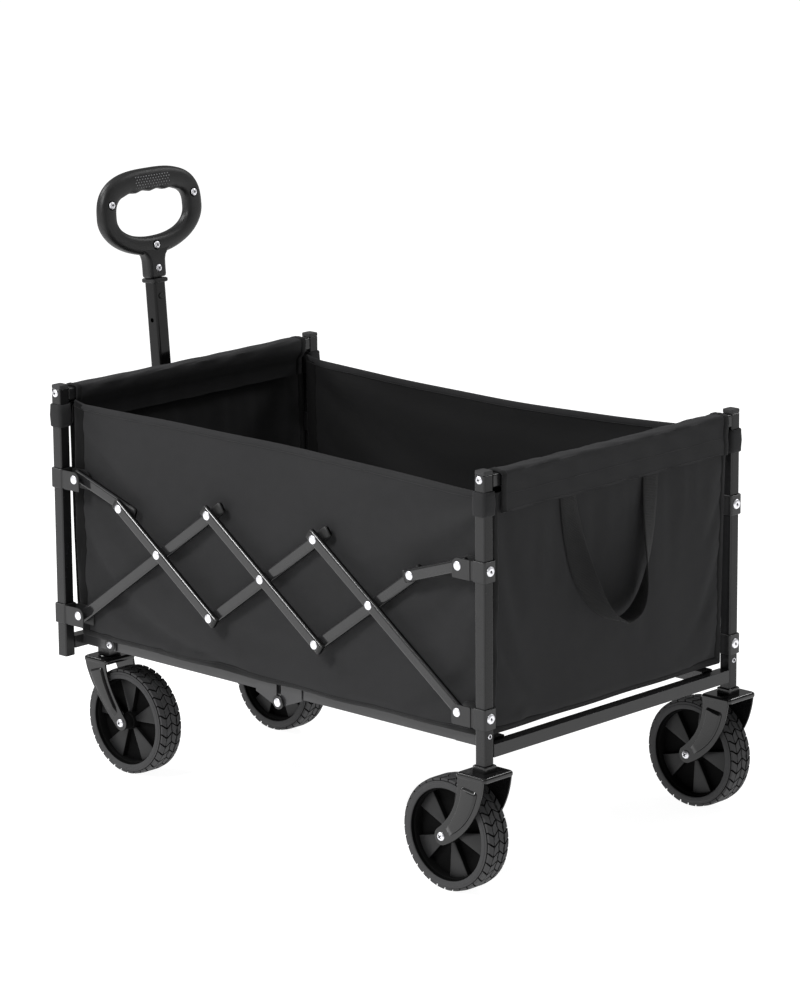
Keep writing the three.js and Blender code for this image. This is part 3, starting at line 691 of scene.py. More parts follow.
# ---- rivets, screws and bolts --------------------------------------------------------------------
RIVET_RADIUS = 0.0063
RIVET_HEIGHT = 0.0021
ARM_INSET = 0.0023               # a front arm's outer face, inside the hinge plates' outer faces
WASHER_RISE = 0.0014             # from a washer's foot to the head on it
PIN_HEIGHT = 0.0485              # of the eyelet above a rear post's foot
RING_RIVET_DROP = 0.0018         # below the middle of its bracket
CAP_SCREW_DROP = 0.0122          # below a cap's top


def dome_profile(radius, height, rim=0.0005):
    """A low dome from its foot to its crown, about Z."""
    profile = [(radius, -0.001), (radius, rim)]
    for i in range(1, 8):
        angle = math.radians(90 * i / 8)
        profile.append((radius * math.cos(angle), rim + (height - rim) * math.sin(angle)))
    return [*profile, (NEAR_AXIS, height)]


def solid_dome(radius, height):
    return lathe([(NEAR_AXIS, -0.001), *dome_profile(radius, height)], 32)


def cut_mesh(name, mesh, cutter):
    """mesh with the cutter part taken out of it."""
    body = add_object(name, mesh)
    tool = add_object(f"{name}_cutter", mesh_from(f"{name}_cutter", *cutter))
    step = body.modifiers.new("cut", "BOOLEAN")
    step.object = tool
    step.solver = "EXACT"
    bpy.context.view_layer.update()
    shown = body.evaluated_get(bpy.context.evaluated_depsgraph_get())
    made = bpy.data.meshes.new_from_object(shown)
    made.name = name
    bpy.data.objects.remove(tool)
    bpy.data.objects.remove(body)
    made.shade_smooth()
    made.set_sharp_from_angle(angle=math.radians(CREASE))
    return made


def cross_cutter(size, width, top, depth):
    """A cross-shaped driver bit."""
    arm = [(-size, -width), (size, -width), (size, width), (-size, width)]
    bars = []
    for turn in (0, 90):
        spin = Matrix.Rotation(math.radians(turn), 4, "Z")
        lift = 0.0001 * turn / 90
        rings = [[spin @ Vector((x, y, z + lift)) for x, y in arm] for z in (top - depth, top + 0.002)]
        bars.append(loft(rings))
    return bars


def cross_head(name, radius, height, size, width, depth):
    """A domed head with a cross recess, painted dark as the shade in it."""
    mesh = mesh_from(name, *solid_dome(radius, height))
    for i, bar in enumerate(cross_cutter(size, width, height, depth)):
        mesh = cut_mesh(f"{name}_{i}", mesh, bar)

    def sunk(face):
        away = math.hypot(face.center.x, face.center.y)
        surface = height * math.sqrt(max(0.0, 1 - (away / radius) ** 2))
        return away < 0.8 * radius and 0 < face.center.z < surface - 0.0003

    return darken_walls(mesh, LOOKS["bright_steel"], PAINTED_RECESS_SHADE, sunk)


def holed_head(name, profile, steps, hole, floor):
    """A turned head whose hole is painted dark as its shade: its faces nearer the axis than hole and higher
    than floor.
    """
    def in_hole(face):
        return math.hypot(face.center.x, face.center.y) < hole and face.center.z > floor

    return darken_walls(mesh_from(name, *lathe(profile, steps)), LOOKS["bright_steel"], PAINTED_RECESS_SHADE, in_hole)


RING_RIVET = ((NEAR_AXIS, 0.0004), (0.0015, 0.0004), (0.0016, 0.0017), (0.0024, 0.0022), (0.0034, 0.0024),
              (0.0050, 0.0023), (0.0064, 0.0017), (0.0071, 0.0006), (0.0071, -0.0005), (NEAR_AXIS, -0.0012))
EYELET = ((NEAR_AXIS, -0.0003), (0.0021, -0.0003), (0.0022, 0.0005), (0.0026, 0.0008), (0.0031, 0.0007),
          (0.0036, 0.0001), (0.0036, -0.0006), (NEAR_AXIS, -0.0010))
# a thin dark disc under each grip screw: the painted shade round its head
SHADE_RING = ((NEAR_AXIS, -0.0008), (0.0070, -0.0008), (0.0074, 0.0002), (0.0068, 0.0006), (NEAR_AXIS, 0.0006))
WASHER = ((NEAR_AXIS, -0.0006), (0.0092, -0.0006), (0.0098, 0), (0.0098, 0.0010), (0.0092, 0.0016),
          (NEAR_AXIS, 0.0016))
HEADS = {
    "seat": mesh_from("seat", *lathe(SHADE_RING, 32)),
    "pin": holed_head("pin_hole", EYELET, 28, 0.0023, -0.0004),
    "rivet": mesh_from("rivet", *solid_dome(RIVET_RADIUS, RIVET_HEIGHT)),
    "ring_rivet": holed_head("ring_rivet", RING_RIVET, 32, 0.00158, 0),
    "screw": cross_head("screw", 0.0056, 0.0026, 0.0027, 0.0007, 0.0018),
    "bolt": cross_head("bolt", 0.0062, 0.0040, 0.0030, 0.0008, 0.0024),
    "washer": mesh_from("washer", *lathe(WASHER, 36)),
}


def add_head(name, kind, place, outward, body, turn=0.0):
    """A fastener head on a face, with its crown toward outward."""
    made = add_object(name, HEADS[kind])
    made.rotation_mode = "QUATERNION"
    spin = Matrix.Rotation(math.radians(turn), 3, "Z").to_quaternion()
    made.rotation_quaternion = Vector(outward).to_track_quat("Z", "Y") @ spin
    made.location = place
    finish = {"washer": LOOKS["bracket_plastic"], "seat": PAINTED_RECESS_SHADE}.get(kind, LOOKS["bright_steel"])
    return piece(made, body, "bright_steel", material=finish)


def make_base_bolts():
    """Heads on the pins of the folding base: at its front arms and at the hinge in the middle."""
    hinge_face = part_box("base_frame_front")[1].y
    spots = (("base_washer", "base_bolt", "screw", PIVOT["front_frame_level"], hinge_face - ARM_INSET,
              "front_frame", 20),
             ("hinge_washer", "hinge_rivet", "rivet", PIVOT["base_middle"], hinge_face, "base_front", 0))
    for side, sy in SIDES:
        for washer, name, kind, pivot, face, body, turn in spots:
            foot = Vector((pivot.x, sy * face, pivot.z))
            head = Vector((pivot.x, sy * (face + WASHER_RISE), pivot.z))
            add_head(f"{washer}_{side}", "washer", foot, (0, sy, 0), body)
            add_head(f"{name}_{side}", kind, head, (0, sy, 0), body, turn)


def make_side_rivets():
    for side, sy in SIDES:
        points = scissor_points(side)
        low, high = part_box(f"bar_fall_1_{side}")
        outer_face = low.y if sy < 0 else high.y
        riders = {"cross_1": "bar_fall_1", "cross_2": "bar_fall_2", "cross_3": "bar_fall_3",
                  "top_1": "bar_fall_2", "top_2": "bar_fall_3", "bottom_1": "bar_fall_1",
                  "bottom_2": "bar_fall_2", "free_front": "bar_fall_1", "free_rear": "link_rear"}
        for spot, bar in riders.items():
            place = (points[spot].x, outer_face, points[spot].z)
            add_head(f"rivet_{spot}_{side}", "rivet", place, (0, sy, 0), f"{bar}_{side}")
        low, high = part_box(f"front_lower_bracket_{side}")
        ear_face = low.y if sy < 0 else high.y
        for spot in ("low_front", "low_rear", "high_front", "high_rear"):
            place = (points[spot].x, ear_face, points[spot].z)
            body = f"{spot.split('_')[1]}_frame"
            add_head(f"rivet_{spot}_{side}", "rivet", place, (0, sy, 0), body)


def make_end_rivets():
    signs = dict(ENDS)
    sides = dict(SIDES)
    for (end, side), place in POST.items():
        sign, sy = signs[end], sides[side]
        body = f"{end}_frame"
        for level in ("upper", "lower"):
            low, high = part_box(f"{end}_{level}_bracket_{side}")
            face = high.x if sign > 0 else low.x
            spot = (face - sign * 0.0002, place.y, (low.z + high.z) / 2 - RING_RIVET_DROP)
            add_head(f"rivet_{end}_{level}_{side}", "ring_rivet", spot, (sign, 0, 0), body)
        if end == "rear":
            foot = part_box(f"rear_post_{side}")[0].z
            spot = (place.x + TUBE / 2, place.y + 0.001, foot + PIN_HEIGHT)
            add_head(f"pin_rear_{side}", "pin", spot, X_AXIS, body)
        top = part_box(f"{end}_cap_{side}")[1].z
        spot = (place.x, place.y + sy * TUBE / 2, top - CAP_SCREW_DROP)
        add_head(f"screw_{end}_cap_{side}", "screw", spot, (0, sy, 0), body, 20)


# ---- wheels --------------------------------------------------------------------------------------
TREAD_BLOCKS = 34
TREAD_DEPTH = 0.0030
TREAD_COLUMNS = 4
TREAD_LEAN = 0.42                # how far a block leans, as a share of its length
GROOVE_WIDTH = 0.0021
SHOULDER, SHOULDER_DROP = 0.0065, 0.0030    # width of a tyre's rounded shoulder, and how far it falls


def wheel_sizes():
    low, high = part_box("rear_tyre_left")
    hub_low, hub_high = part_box("rear_hub_left")
    return (high.z - low.z) / 2 * 0.998, (high.y - low.y) / 2, (hub_high.z - hub_low.z) / 2


WHEEL_RADIUS, TYRE_HALF, HUB_RADIUS = wheel_sizes()


def about_y(part):
    """A part made about Z, turned so that its axis is Y."""
    return moved(part, Matrix.Rotation(math.radians(90), 4, "X"))


def tread_radius(w):
    """Height of the tread's crown across the tyre: level in the middle, rounded off at the shoulders."""
    over = max(0.0, abs(w) - (TYRE_HALF - SHOULDER)) / SHOULDER
    return WHEEL_RADIUS - SHOULDER_DROP * over ** 2


def tread_block(angle, step, w0, w1, lean, bulge):
    """One zig-zag block of tread between the widths w0 and w1."""
    groove = GROOVE_WIDTH / (WHEEL_RADIUS * step) / 2
    start, stop, middle = groove, 1 - groove, 0.5
    outline = [(start, w0), (middle, w0 + bulge), (stop, w0),
               (stop + lean, w1), (middle + lean, w1 + bulge), (start + lean, w1)]
    hub = Vector((middle + lean / 2, (w0 + w1 + bulge) / 2))
    rings = []
    for sink, shrink in ((TREAD_DEPTH + 0.001, 0), (0.0004, 0), (0, 0.07)):
        ring = []
        for share, w in (Vector(p).lerp(hub, shrink) for p in outline):
            a = angle + step * share
            radius = tread_radius(w) - sink
            ring.append(Vector((radius * math.cos(a), radius * math.sin(a), w)))
        rings.append(ring)
    return loft(rings)


def tread_parts():
    """Columns of blocks across the tyre, leaning to alternate sides."""
    step = 2 * math.pi / TREAD_BLOCKS
    reach = TYRE_HALF - 0.0012
    width = 2 * reach / TREAD_COLUMNS
    parts = []
    for column in range(TREAD_COLUMNS):
        w0 = -reach + column * width + GROOVE_WIDTH / 2
        w1 = w0 + width - GROOVE_WIDTH
        lean = TREAD_LEAN if column % 2 else -TREAD_LEAN
        offset = 0.0 if column % 2 else TREAD_LEAN
        bulge = 0.0 if column in (0, TREAD_COLUMNS - 1) else 0.0014
        for i in range(TREAD_BLOCKS):
            parts.append(tread_block((i + offset) * step, step, w0, w1, lean, bulge))
    return parts


def tyre_part():
    """A carcass with broad flat sides and the tread round it."""
    half, inside = TYRE_HALF, HUB_RADIUS
    side = [(inside + 0.0002, half - 0.0125), (inside + 0.0004, half - 0.0014),
            (inside + 0.0012, half - 0.0004), (inside + 0.0024, half - 0.0001),
            (WHEEL_RADIUS - 0.0086, half - 0.0003), (WHEEL_RADIUS - 0.0078, half - 0.0010)]
    for back in (0.0012, 0.0030, 0.0060):
        side.append((tread_radius(half - back) - TREAD_DEPTH, half - back))
    profile = mirrored(side, [(WHEEL_RADIUS - TREAD_DEPTH, 0)])
    return joined([lathe(profile, 96), *tread_parts()])


def in_groove(face):
    """Whether a tyre's face is the floor or a wall of its tread; these faces get the painted shade."""
    across = face.center.y
    away = math.hypot(face.center.x, face.center.z)
    depth = tread_radius(across) - away
    facing = (face.center.x * face.normal.x + face.center.z * face.normal.z) / away
    if abs(face.normal.y) > 0.9 or abs(across) > TYRE_HALF - 0.0011:
        return False
    return depth > 0.6 * TREAD_DEPTH if facing > 0.7 else depth > 0.0008


SPOKES = 5
SPOKE_ANGLE = 16                 # half of a spoke's angle, in degrees
SPOKE_FACE = 0.0095              # from the wheel's middle plane
BOSS_RADIUS = 0.013
RIM_HALF = 0.0150
RIM_SHEET = 0.0022               # thickness of the rim
WEB_HALF = 0.0016                # half thickness of the web


def spoke_part(turn):
    outer = HUB_RADIUS - RIM_SHEET
    outline = [(-0.0028, BOSS_RADIUS - 0.002), (0.0028, BOSS_RADIUS - 0.002)]
    outline += arc((0, 0), outer, 90 - SPOKE_ANGLE, 90 + SPOKE_ANGLE, 10)
    return moved(plate(outline, 2 * SPOKE_FACE, 0.0008), Matrix.Rotation(math.radians(turn), 4, "Y"))


def rim_part():
    half = [(HUB_RADIUS - 0.0026, RIM_HALF - 0.0016), (HUB_RADIUS - 0.0018, RIM_HALF),
            (HUB_RADIUS, RIM_HALF)]
    return about_y(lathe(mirrored(half), 96))


def web_part():
    """The thin web between the spokes."""
    return about_y(lathe(mirrored([(0.006, WEB_HALF), (HUB_RADIUS - RIM_SHEET, WEB_HALF)]), 72))


def boss_part():
    """The stepped boss round the axle."""
    half = [(0.0052, 0.0246), (0.0095, 0.0246), (0.0105, 0.0236), (0.0118, 0.0145), (BOSS_RADIUS, 0.0135)]
    return about_y(lathe(mirrored(half, [(BOSS_RADIUS + 0.001, 0)]), 40))


WHEEL_TURN = {"rear": 23, "front": -2}      # degrees


def wheel_meshes(end):
    """The wheel's pieces as meshes, turned to where the spokes of that end stand."""
    turn = Matrix.Rotation(math.radians(WHEEL_TURN[end]), 4, "Y")
    spokes = moved(joined([spoke_part(360 * i / SPOKES) for i in range(SPOKES)]), turn)
    hub = mesh_from(f"hub_{end}", *spokes)
    # the spokes' sides are painted near-black as the shade between them
    darken_walls(hub, LOOKS["hub_plastic"], PAINTED_RECESS_SHADE, lambda face: abs(face.normal.y) < 0.4)
    tyre = mesh_from(f"tyre_{end}", *moved(about_y(tyre_part()), turn), 30)
    # the tread's grooves get the painted shade
    darken_walls(tyre, LOOKS["tyre"], PAINTED_RECESS_SHADE, in_groove)
    return {
        "tyre": tyre,
        "hub": hub,
        "rim": mesh_from(f"rim_{end}", *joined([rim_part(), web_part()])),
        "boss": mesh_from(f"boss_{end}", *boss_part()),
    }


def make_wheels():
    for end, _ in ENDS:
        meshes = wheel_meshes(end)
        for side, _ in SIDES:
            place = centre_of(f"{end}_hub_{side}")
            for kind, mesh in meshes.items():
                made = add_object(f"wheel_{kind}_{end}_{side}", mesh)
                made.location = place
                nodes = [f"{end}_{kind}_{side}"] if kind in ("tyre", "hub") else []
                slot = "tyre" if kind == "tyre" else "hub_plastic"
                # the rim with its web, and the boss, get the painted shade
                material = PAINTED_RECESS_SHADE if kind in ("rim", "boss") else None
                piece(made, f"{end}_wheel_{side}", slot, *nodes, material=material)


# ---- forks ---------------------------------------------------------------------------------------
FORK_INSIDE = 0.0264
FORK_SHEET = 0.003
FORK_FACE = FORK_INSIDE + FORK_SHEET + 0.0002
AXLE_RADIUS = 0.0046
SWIVEL_STUD = 0.015              # stud above a front fork's plate
FORK_ARMS = {                    # arm's middle line before its axle, and its half widths from crown to axle
    "rear": (((0, -0.004), (0, -0.040), (0.016, -0.074)), (0.0240, 0.0205, 0.0175, 0.0128)),
    "front": (((0, -0.004), (0.004, -0.030), (0.022, -0.058)), (0.0222, 0.0180, 0.0146, 0.0118)),
}


def arm_line(end, trail, drop, steps=24):
    """Points, cross directions and half widths down a fork arm, with the crown at x = 0, z = 0."""
    start, halves = FORK_ARMS[end]
    points = bezier([*start, (trail, -drop)], steps)
    widths = bezier([(h, 0) for h in halves], steps)
    line = []
    for i, point in enumerate(points):
        ahead = points[min(i + 1, steps)] - points[max(i - 1, 0)]
        across = Vector((-ahead.y, ahead.x)).normalized()
        line.append((point, across, widths[i].x))
    return line


def cheek_outline(end, trail, drop):
    line = arm_line(end, trail, drop)
    half = line[0][2]
    outline = [(-half, -0.0045), (half, -0.0045)]
    outline += [tuple(p + across * w) for p, across, w in line[2:]]
    last, across, radius = line[-1]
    start = math.degrees(math.atan2(across.y, across.x))
    outline += arc(tuple(last), radius, start, start - 180, 14)[1:-1]
    outline += [tuple(p - across * w) for p, across, w in reversed(line[2:])]
    return outline


def crown_part(half):
    """The pressed top of the fork: a shallow cap with rolled edges."""
    width, length = 2 * (half + 0.0030), 2 * (FORK_INSIDE + FORK_SHEET + 0.0006)
    stations = [(-0.0078, 0.0010), (-0.0070, 0.0002), (-0.0060, 0), (-0.0034, 0), (-0.0022, 0.0004),
                (-0.0011, 0.0012), (-0.0004, 0.0023), (-0.0001, 0.0034), (-0.0003, 0.0046)]
    return loft([section_ring(width - 2 * e, length - 2 * e, 0.0052, z) for z, e in stations])


def rib_part(end, trail, drop):
    """The raised panel pressed into a cheek: a sloping upper end, tapering down to the axle."""
    line = arm_line(end, trail, drop, 60)[9:54]
    section = ((-1, -0.3), (-0.97, 0.35), (-0.86, 0.86), (-0.76, 1.0), (0, 1.04), (0.76, 1.0), (0.86, 0.86),
               (0.97, 0.35), (1, -0.3))
    rings = []
    for i, (point, across, width) in enumerate(line):
        share = i / (len(line) - 1)
        rise = min(1, 0.1 + i / 2, 0.1 + (len(line) - 1 - i) / 5)
        half = 0.66 * width * (1 - 0.38 * share ** 3) * min(1, 0.86 + 0.07 * i)
        tall = 0.0034 * rise
        rings.append([Vector((point.x + across.x * u * half, -w * tall, point.y + across.y * u * half))
                      for u, w in section])
    return loft(rings)


def fork_part(end, trail, drop):
    parts = [crown_part(FORK_ARMS[end][1][0])]
    cheek = plate(cheek_outline(end, trail, drop), FORK_SHEET, 0.0013)
    pressed = rib_part(end, trail, drop)
    for flip in (Matrix.Identity(4), Matrix.Scale(-1, 4, Y_AXIS)):
        parts.append(moved(cheek, flip @ Matrix.Translation((0, FORK_SHEET / 2 - FORK_FACE, 0))))
        parts.append(moved(pressed, flip @ Matrix.Translation((0, -FORK_FACE, 0))))
    return joined(parts)


def fork_top(end, side):
    """The height of a fork's plate: under the post's foot, or just under the caster mount."""
    if end == "rear":
        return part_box(f"rear_post_{side}")[0].z - 0.0005
    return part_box(f"front_fork_{side}")[1].z - SWIVEL_STUD


def fork_fittings(end, side, body, crown):
    """A square collar round a rear post's foot, or a swivel race and stud on a front fork."""
    if end == "rear":
        part = rounded_tube(0.0246, 0.0246, 0.0026, 0.0034, -0.001, 0.0082, 0.0009)
    else:
        race = [(0.0066, -0.0035), (0.016, -0.0035), (0.0175, -0.0022), (0.0175, -0.0010), (0.0160, 0.0002),
                (0.0066, 0.0002)]
        stud = [(NEAR_AXIS, -0.006), (0.0064, -0.006), (0.0064, 0.0145), (NEAR_AXIS, 0.0148)]
        part = joined([lathe(race, 40), lathe(stud, 28)])
    piece(flat_faces(solid(f"{end}_fork_collar_{side}", part, crown)), body, "fork_metal")


def add_axle(end, side, sy, body, hub):
    """An axle between a fork's cheeks and a bolt head on each outer face."""
    for sign in (-1, 1):
        spot = (hub.x, hub.y + sign * FORK_FACE, hub.z)
        face = "outer" if sign == sy else "inner"
        add_head(f"axle_bolt_{end}_{side}_{face}", "bolt", spot, (0, sign, 0), body, 35)
    profile = mirrored([(NEAR_AXIS, FORK_INSIDE), (AXLE_RADIUS, FORK_INSIDE)])
    piece(solid(f"axle_{end}_{side}", about_y(lathe(profile, 24)), hub), body, "bright_steel")


def make_forks():
    for end, ex in ENDS:
        for side, sy in SIDES:
            hub = centre_of(f"{end}_hub_{side}")
            body = "rear_frame" if end == "rear" else f"caster_{side}"
            crown_x = POST[("rear", side)].x if end == "rear" else PIVOT[f"caster_swivel_{side}"].x
            crown = Vector((crown_x, hub.y, fork_top(end, side)))
            part = fork_part(end, abs(hub.x - crown.x), crown.z - hub.z)
            part = moved(part, Matrix.Scale(-ex, 4, X_AXIS))
            made = solid(f"{end}_wheel_fork_{side}", part, crown)
            piece(flat_faces(made), body, "fork_metal", f"{end}_fork_{side}")
            fork_fittings(end, side, body, crown)
            add_axle(end, side, sy, body, hub)


# ---- pull handle ---------------------------------------------------------------------------------
HANDLE_LEAN = math.radians(4.6)
HANDLE = axes_matrix(PIVOT["handle_tilt"],
                     Vector((math.cos(HANDLE_LEAN), 0, math.sin(HANDLE_LEAN))), Y_AXIS,
                     Vector((-math.sin(HANDLE_LEAN), 0, math.cos(HANDLE_LEAN))))
BARREL, BARREL_WALL = 0.0232, 0.0014
BARREL_FOOT, BARREL_TOP = -0.009, 0.5125    # heights up the handle from its pivot
COLLAR_TOP = 0.5188
NECK_BOTTOM = 0.5205
RING_CENTRE = 0.617
STOP_HEIGHT, STOP_RADIUS = 0.456, 0.0034    # of the stop hole in the outer tube
GRIP_REACH = 0.1028              # half width of the ring
GRIP_RISE, GRIP_FALL = 0.0675, 0.0630       # its height over and under its centre
GRIP_HALF = 0.0105               # half thickness
HOLE_REACH, HOLE_RISE = 0.0712, 0.0345      # half width and half height of the hand hole
REST_REACH, REST_PITCH, REST_DEPTH = 0.058, 0.029, 0.0026  # of the finger rests: half row, pitch, depth
GRIP_FULLNESS = 0.72             # how full the ring's section is: 1 is an ellipse, less is squarer


def eased(value, power):
    """A power of value's size, with its sign kept."""
    return math.copysign(abs(value) ** power, value)


def grip_outer(turn):
    """The grip's outer edge at an angle round its ring, as (across, height)."""
    c, s = math.cos(turn), math.sin(turn)
    power = 2.75 if s > 0 else 1.95
    tall = GRIP_RISE if s > 0 else GRIP_FALL
    return GRIP_REACH * eased(c, 2 / power), RING_CENTRE + tall * eased(s, 2 / power)


def grip_inner(turn):
    """The edge of the hand hole, with finger rests along its top."""
    c, s = math.cos(turn), math.sin(turn)
    power = 3.3 if s > 0 else 2.2
    across = HOLE_REACH * eased(c, 2 / power)
    height = RING_CENTRE + HOLE_RISE * eased(s, 2 / power)
    if s > 0 and abs(across) < REST_REACH:
        wave = (1 + math.cos(2 * math.pi * across / REST_PITCH)) / 2
        height -= REST_DEPTH * wave * (1 - (across / REST_REACH) ** 4)
    return across, height


def grip_ring_part(steps=144, around=20):
    """The D-shaped ring, with a rounded section all the way round."""
    rings = []
    for i in range(steps):
        turn = 2 * math.pi * i / steps
        outer, inner = Vector(grip_outer(turn)), Vector(grip_inner(turn))
        middle, half = (outer + inner) / 2, (outer - inner) / 2
        ring = []
        for j in range(around):
            a = 2 * math.pi * j / around
            spot = middle + half * eased(math.cos(a), GRIP_FULLNESS)
            ring.append(Vector((GRIP_HALF * eased(math.sin(a), GRIP_FULLNESS), spot.x, spot.y)))
        rings.append(ring)
    return loft(rings, wrap=True)


def grip_neck_part():
    """The neck below the ring, spreading into it."""
    stations = ((NECK_BOTTOM, 0.0160, 0.0102), (NECK_BOTTOM + 0.0012, 0.0171, 0.0110),
                (NECK_BOTTOM + 0.004, 0.0175, 0.0114), (0.534, 0.0174, 0.0114), (0.546, 0.0178, 0.0113),
                (0.553, 0.0200, 0.0110), (0.560, 0.0262, 0.0104), (0.566, 0.036, 0.0096),
                (0.572, 0.046, 0.0082))
    return loft([[Vector((y, x, z)) for x, y in rounded_rectangle(2 * w, 2 * d, min(d, w) * 0.62, 6)]
                 for z, w, d in stations])


DOT = ((NEAR_AXIS, -0.0006), (0.0011, -0.0006), (0.0009, 0.0003), (0.0005, 0.0007), (NEAR_AXIS, 0.0008))
DOT_ROWS, DOT_PITCH = 0.0040, 0.0054        # between rows of dots, and along a row


def grip_dots():
    """Rows of small raised dots on the two faces of the top bar."""
    parts = []
    dot = lathe(DOT, 8)
    top, hole = grip_outer(math.pi / 2)[1], RING_CENTRE + HOLE_RISE
    middle, half = (top + hole) / 2, (top - hole) / 2
    for face in (-1, 1):
        turn = Matrix.Rotation(math.radians(90 * face), 4, "Y")
        for row in range(5):
            height = hole + 0.0055 + row * DOT_ROWS
            level = (abs(height - middle) / half) ** (1 / GRIP_FULLNESS)
            depth = GRIP_HALF * math.sqrt(1 - level * level) ** GRIP_FULLNESS
            for column in range(-6, 7):
                across = (column + 0.5 * (row % 2)) * DOT_PITCH
                parts.append(moved(dot, Matrix.Translation((face * depth, across, height)) @ turn))
    return joined(parts)


def in_handle(name, part, body, slot, *nodes, material=None):
    """A piece made up the handle's own axis, set into the leaning handle."""
    return piece(flat_faces(solid(name, part, HANDLE)), body, slot, *nodes, material=material)


GRIP_SCREWS = ((-0.0835, 0.638), (0.0835, 0.638), (0.0, 0.569), (0.0, 0.534))   # across and up the handle


def make_grip():
    ring = joined([grip_ring_part(), grip_neck_part()])
    in_handle("grip_ring", ring, "handle_inner", "grip_plastic", "handle_grip")
    # the dots are painted pale grey as their small highlights
    in_handle("grip_dots", grip_dots(), "handle_inner", "grip_plastic", material=DOT_HIGHLIGHT)
    for i, (across, height) in enumerate(GRIP_SCREWS):
        for face, spot in ((-1, "back"), (1, "front")):
            depth = GRIP_HALF - (0.0004 if across else 0.0002)
            place = HANDLE @ Vector((face * depth, across, height))
            outward = HANDLE.to_3x3() @ Vector((face, 0, 0))
            # a dark disc under each screw is the painted shade round its head
            add_head(f"grip_seat_{i}_{spot}", "seat", place, outward, "handle_inner")
            add_head(f"grip_screw_{i}_{spot}", "screw", place, outward, "handle_inner", 15 * i)


def make_barrel():
    """The outer tube, with the stop hole in its left face."""
    barrel = rounded_tube(BARREL, BARREL, BARREL_WALL, 0.0040, BARREL_FOOT, BARREL_TOP)
    bore = about_y(lathe(mirrored([(NEAR_AXIS, 0.004), (STOP_RADIUS, 0.004)]), 24))
    bore = moved(bore, Matrix.Translation((0, 0.0004 - BARREL / 2, STOP_HEIGHT)))
    name = "handle_outer_barrel"
    made = add_object(name, cut_mesh(name, mesh_from("barrel", *barrel), bore))
    made.matrix_world = HANDLE
    made.data.materials.clear()
    piece(flat_faces(made), "handle_outer", "frame_metal", "handle_outer_tube", material=HANDLE_METAL)


PIVOT_REACH = 0.0160             # from the handle's middle plane to its pivot bolt's head


def make_handle_tubes():
    soften_node("handle_inner_tube", HANDLE_METAL, 0.0022)
    soften_node("handle_release_button", KNOB, 0.0006)
    make_barrel()
    collar = rounded_tube(0.0300, 0.0300, 0.0064, 0.0045, BARREL_TOP, COLLAR_TOP, 0.0012)
    in_handle("handle_collar", collar, "handle_outer", "grip_plastic", material=LOOKS["hub_plastic"])
    cap = rounded_tube(0.0236, 0.0236, 0.0024, 0.003, -0.0105, -0.0085, 0.0006)
    in_handle("handle_foot_cap", cap, "handle_outer", "bracket_plastic")
    pivot = PIVOT["handle_tilt"]
    for side, sy in SIDES:
        spot = (pivot.x, sy * PIVOT_REACH, pivot.z)
        add_head(f"handle_bolt_{side}", "bolt", spot, (0, sy, 0), "front_frame", 30)


# ---- cloth ---------------------------------------------------------------------------------------
CLOTH = 0.0016                   # thickness of the tub fabric
STRIP_PITCH = 0.003              # across an edge strip, from point to point, on its flat cloth


def cloth_grid(columns, rows, place):
    """Rows of points; place(u, v) gives the point at u along a row and v up the rows, from 0 to 1."""
    return [[Vector(place(i / columns, j / rows)) for i in range(columns + 1)] for j in range(rows + 1)]


def grid_faces(columns, rows):
    width = columns + 1
    return [(j * width + i, j * width + i + 1, (j + 1) * width + i + 1, (j + 1) * width + i)
            for j in range(rows) for i in range(columns)]


DRAPE = {"quality": 6, "mass": 0.35, "tension_stiffness": 18, "compression_stiffness": 12,
         "shear_stiffness": 6, "bending_stiffness": 0.9, "air_damping": 3, "shrink_min": -0.006}
DRAPE_FRAMES = 26
DRAPE_CAP = 0.0045               # no point moves further than this


def draped(grid, pinned):
    """The grid after hanging under gravity with a little slack; pinned(u, v) holds a point still."""
    rows, columns = len(grid) - 1, len(grid[0]) - 1
    flat = [point for row in grid for point in row]
    work = add_object("drape", mesh_from("drape", flat, grid_faces(columns, rows)))
    group = work.vertex_groups.new(name="pinned")
    group.add([j * (columns + 1) + i for j in range(rows + 1) for i in range(columns + 1)
               if pinned(i / columns, j / rows)], 1.0, "ADD")
    settings = work.modifiers.new("cloth", "CLOTH").settings
    settings.vertex_group_mass = "pinned"
    for key, value in DRAPE.items():
        setattr(settings, key, value)
    scene = bpy.context.scene
    for number in range(1, DRAPE_FRAMES + 1):
        scene.frame_set(number)
    shown = work.evaluated_get(bpy.context.evaluated_depsgraph_get()).to_mesh()
    fallen = [v.co.copy() for v in shown.vertices]
    scene.frame_set(1)
    bpy.data.objects.remove(work)
    settled = []
    for start, end in zip(flat, fallen):
        step = end - start
        settled.append(start + step * min(1, DRAPE_CAP / max(step.length, 1e-9)))
    width = columns + 1
    return [settled[j * width:(j + 1) * width] for j in range(rows + 1)]


def grid_normals(grid):
    """The unit normal at each point of a grid."""
    rows, columns = len(grid) - 1, len(grid[0]) - 1
    normals = []
    for j in range(rows + 1):
        line = []
        for i in range(columns + 1):
            along = grid[j][min(i + 1, columns)] - grid[j][max(i - 1, 0)]
            up = grid[min(j + 1, rows)][i] - grid[max(j - 1, 0)][i]
            line.append(along.cross(up).normalized())
        normals.append(line)
    return normals


def lay_out(made, spread):
    """A UV map in metres of cloth; spread gives a vertex's place on the flat cloth."""
    layer = made.data.uv_layers.new(name="cloth")
    for loop in made.data.loops:
        index = loop.vertex_index
        layer.data[loop.index].uv = spread(index, made.data.vertices[index].co)
    return made


